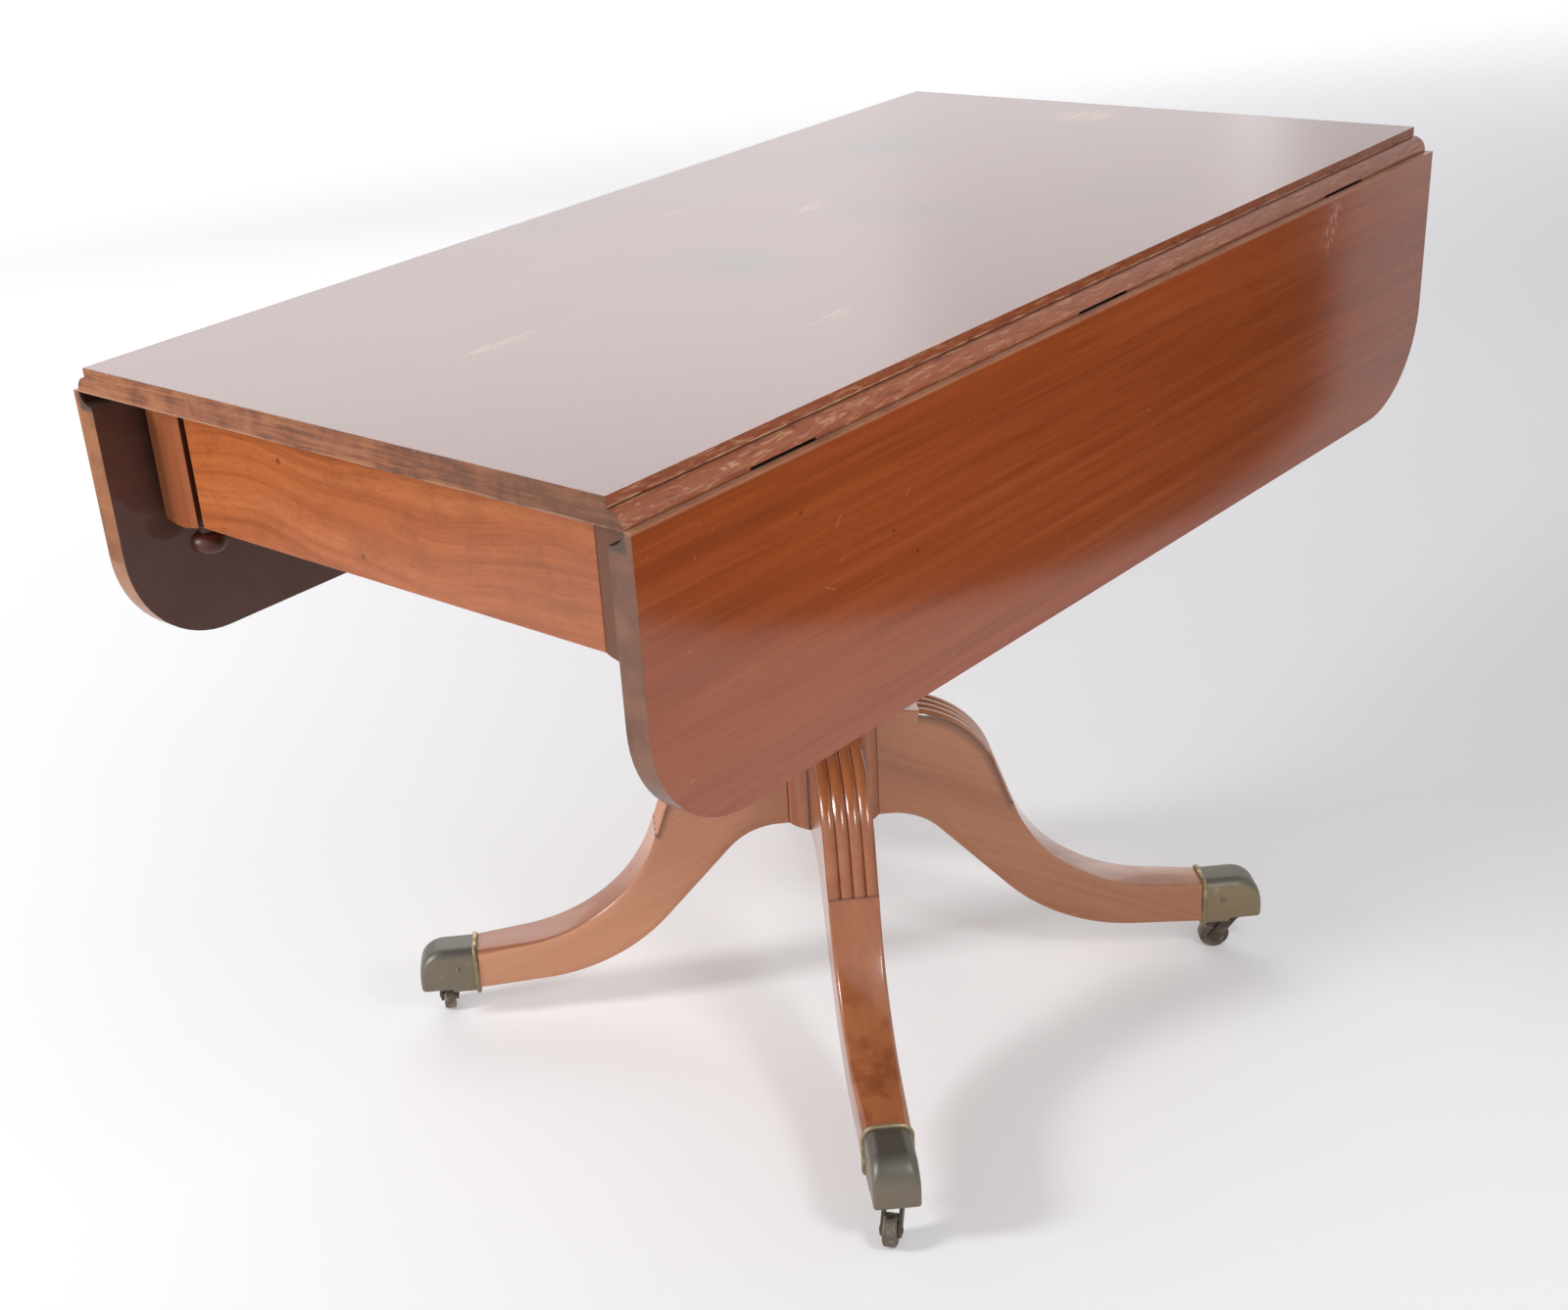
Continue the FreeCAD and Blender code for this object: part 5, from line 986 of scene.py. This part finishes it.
# %% Castor wheels
TRAILS = {"front_right": -64, "front_left": 140, "back_right": -139, "back_left": 100}
TRAIL, WHEEL_RADIUS, WHEEL_HALF = 16, 14, 5.5
tread = outline([(2.65, -WHEEL_HALF), (7, -WHEEL_HALF), (8, -4.6), (10.8, -4.6), (11.6, -WHEEL_HALF),
                 (12.2, -WHEEL_HALF, 1.8, "right"), (WHEEL_RADIUS, -3.7, 40, "right"),
                 (WHEEL_RADIUS, 3.7, 1.8, "right"), (12.2, WHEEL_HALF), (11.6, WHEEL_HALF), (10.8, 4.6),
                 (8, 4.6), (7, WHEEL_HALF), (2.65, WHEEL_HALF)])
tread[:, 0] = np.minimum(tread[:, 0], WHEEL_RADIUS)


def spun(profile, around):
    """A wheel: (radius, offset) swept about a level axle at the wheel's height, in (s, w, z)."""
    angle = np.linspace(0, 2 * math.pi, around, endpoint=False)
    radius, offset = profile[:, 0][:, None], profile[:, 1][:, None]
    s = TRAIL + radius * np.cos(angle)
    z = WHEEL_RADIUS + radius * np.sin(angle)
    return np.stack([s, np.broadcast_to(offset, s.shape), z], axis=-1)


wheel_shape = spun(tread, 64)
for corner, heading in LEG_TURNS.items():
    turn = math.radians(heading)
    spot = (SWIVEL_AT * math.cos(turn), SWIVEL_AT * math.sin(turn))
    wheel = mesh_of_rings("wheel", [set_round(wheel_shape, TRAILS[corner], spot)])
    finish_piece(wheel, "castor_wheel_turned_" + corner, "wheel_" + corner, wheel_brass,
                 ["castor_wheel_" + corner])
    softened("castor_horn_" + corner, horn_brass, 0.4)
print("wheels", wheel_shape.shape)

# %% [markdown]
# ## Small metal that keeps its shape
# Hinges, pins, plates and screws are right as they come from the construction, so they only take a finish.

# %% Finishes on the frame's own metal
for name, node in NODES.items():
    if node.hide_render:
        continue
    metal = screw_steel if SLOTS[name] == "screw_steel" else hinge_iron
    if name.startswith("castor_"):
        metal = cup_brass if name == "castor_cup_screws" else horn_brass
    node.data.materials.clear()
    node.data.materials.append(metal)
print([name for name, node in NODES.items() if not node.hide_render])

# %% [markdown]
# ## Floor and surroundings
# The table stands on a seamless pale floor in pale surroundings. Both are brighter where the camera, the
# polish or the brass sees them than they are as a source of light, so the background can be nearly white
# while the table keeps its colour and its shadow.


# %% Floor and world
def seen_directly(tree):
    """1 for what the camera sees, straight or mirrored, and 0 for light on its way to a surface."""
    rays = put(tree, "LightPath").node.outputs
    return either(tree, rays["Is Camera Ray"], rays["Is Glossy Ray"], rays["Is Transmission Ray"])


bpy.ops.mesh.primitive_plane_add(size=40)
floor = bpy.context.object
floor.name = "studio_floor"
floor_material, tree = new_material("pale_seamless_paper")
place = put(tree, "TexCoord", give="Object")
speckle = put(tree, "TexNoise", place, 1 / (500 * MM), 2.0)
matte = put(tree, "BsdfDiffuse", put(tree, "Mix", speckle, "#e3e2e3", "#e7e6e7"))
x, y, _ = put(tree, "SeparateXYZ", place).node.outputs
far = put(tree, "VectorMath", place, (0.3, 0.5, 0.0), operation="DISTANCE")
near_side = put(tree, "MapRange", y, 1.1, 0.0, 0.15, 0.215)
left_side = put(tree, "MapRange", x, -0.5, -2.6, 0.0, 0.2)
whiter = put(tree, "Math", near_side, left_side, operation="ADD")
whiter = put(tree, "Math", whiter, put(tree, "MapRange", far, 2.0, 5.5, 0.0, 0.5), operation="ADD")
lift = put(tree, "MixShader", seen_directly(tree), put(tree, "Emission", Strength=0.0),
           put(tree, "Emission", "#fefdfe", whiter))
put(tree, "OutputMaterial", put(tree, "AddShader", matte, lift))
floor.data.materials.append(floor_material)

world = bpy.data.worlds.new("studio")
bpy.context.scene.world = world
world.use_nodes = True
tree = world.node_tree
tree.nodes.clear()
fill = put(tree, "Background", "#f4f5f8", 0.44)
white = put(tree, "Background", "#fafafb", 1.0)
put(tree, "OutputWorld", put(tree, "MixShader", seen_directly(tree), fill, white))
print("floor and world ready")

# %% [markdown]
# ## Lamps and the dark card
# A lamp at the left and front gives the main light, and a smaller one at the right fills its shadows. Two
# wide lamps behind and above are what the polished top mirrors, and a low one at the back is seen only in
# reflections, as are the sides of the room. A dark card on the floor, which only reflections see, gives the
# leaf and the legs the dark parts of their gloss.


# %% Lamps
def softbox(name, place, aim, wide, tall, brightness):
    """A rectangular lamp that faces a point. Its power is brightness times pi times its area."""
    lamp = bpy.data.lights.new(name, "AREA")
    lamp.shape = "RECTANGLE"
    lamp.size, lamp.size_y = wide, tall
    lamp.energy = brightness * math.pi * wide * tall
    holder = bpy.data.objects.new(name, lamp)
    holder.location = place
    holder.rotation_euler = (Vector(aim) - Vector(place)).to_track_quat("-Z", "Y").to_euler()
    holder.visible_camera = False
    bpy.context.scene.collection.objects.link(holder)
    return holder


softbox("left_lamp", (-1.2, -2.05, 1.48), (0, 0, 0.45), 0.5, 0.55, 42)
softbox("right_lamp", (1.12, -0.3, 1.05), (0.1, -0.1, 0.45), 0.26, 0.28, 21)
softbox("back_lamp", (-2.2, 1.8, 1.8), (0, 0, 0.72), 3.4, 2.2, 0.88)
softbox("high_back_lamp", (-2.2, 1.38, 2.22), (0, 0, 0.72), 2.4, 1.6, 0.93)
low_lamp = softbox("low_back_lamp", (-0.75, 3.2, 1.0), (0.15, 0.3, 0.6), 1.1, 1.1, 0.5)
low_lamp.visible_diffuse = False
print("lamps", [lamp.name for lamp in bpy.data.lights])

# %% Dark card
CARD_HEIGHT = 10 * MM
CARD_RIGHT = ((1.46, 0.45), (1.3, 0.52), (1.17, 0.56), (1.06, 0.68), (0.98, 0.84), (0.93, 0.98),
              (0.895, 1.2), (0.9, 1.4), (0.93, 1.6), (0.98, 1.76), (1.06, 1.93), (1.17, 2.16),
              (1.3, 2.42), (1.46, 2.74), (2.6, 5.0), (4, 6), (6, 2), (4, -0.5))
CARD_LEFT = ((-2.4, -0.5), (-1.5, -1.15), (-1.25, -1.45), (-1.05, -1.65), (0, -4), (-5, -5), (-6, -0.8))
card_points = [(x, y, CARD_HEIGHT) for x, y in CARD_RIGHT + CARD_LEFT]
right_face = range(len(CARD_RIGHT))[::-1]
left_face = range(len(CARD_RIGHT), len(card_points))[::-1]
flag = bpy.data.meshes.new("dark_flag")
flag.from_pydata(card_points, [], [tuple(right_face), tuple(left_face)])
flag_card = bpy.data.objects.new("dark_flag", flag)
bpy.context.scene.collection.objects.link(flag_card)
flag_card.visible_camera = flag_card.visible_diffuse = flag_card.visible_shadow = False
flag_card.visible_transmission = False
flag_material, tree = new_material("black_felt")
fibre = put(tree, "TexNoise", put(tree, "TexCoord", give="Object"), 1 / (3.33 * MM))
put(tree, "OutputMaterial", put(tree, "BsdfDiffuse", put(tree, "Mix", fibre, "#101010", "#1c1c1c")))
flag.materials.append(flag_material)
print("dark card of", len(card_points), "corners")

# %% [markdown]
# ## Camera
# The camera stands where the photographer did. Its place, its angles and its lens were solved from the
# table's own corners, and the shift is there because the picture is a crop.

# %% Camera
CAMERA_AT = (1.12535, -1.35925, 1.15942)
SENSOR_WIDE, LENS, SHIFT = 36, 49.407, (0.1081, 0.0988)
YAW, PITCH, ROLL = (math.radians(angle) for angle in (46.16, -28.41, -5.91))
forward = Vector((-math.sin(YAW) * math.cos(PITCH), math.cos(YAW) * math.cos(PITCH), math.sin(PITCH)))
level = forward.cross(Vector((0, 0, 1))).normalized()
above = level.cross(forward)
right = level * math.cos(ROLL) + above * math.sin(ROLL)
up = above * math.cos(ROLL) - level * math.sin(ROLL)
camera_data = bpy.data.cameras.new("photo_camera")
camera_data.sensor_width = SENSOR_WIDE
camera_data.lens = LENS
camera_data.shift_x, camera_data.shift_y = SHIFT
camera = bpy.data.objects.new("photo_camera", camera_data)
camera.matrix_world = Matrix.Translation(CAMERA_AT) @ Matrix((right, up, -forward)).transposed().to_4x4()
bpy.context.scene.collection.objects.link(camera)
bpy.context.scene.camera = camera
bpy.context.scene.view_settings.view_transform = "Standard"
print("camera", camera.location)
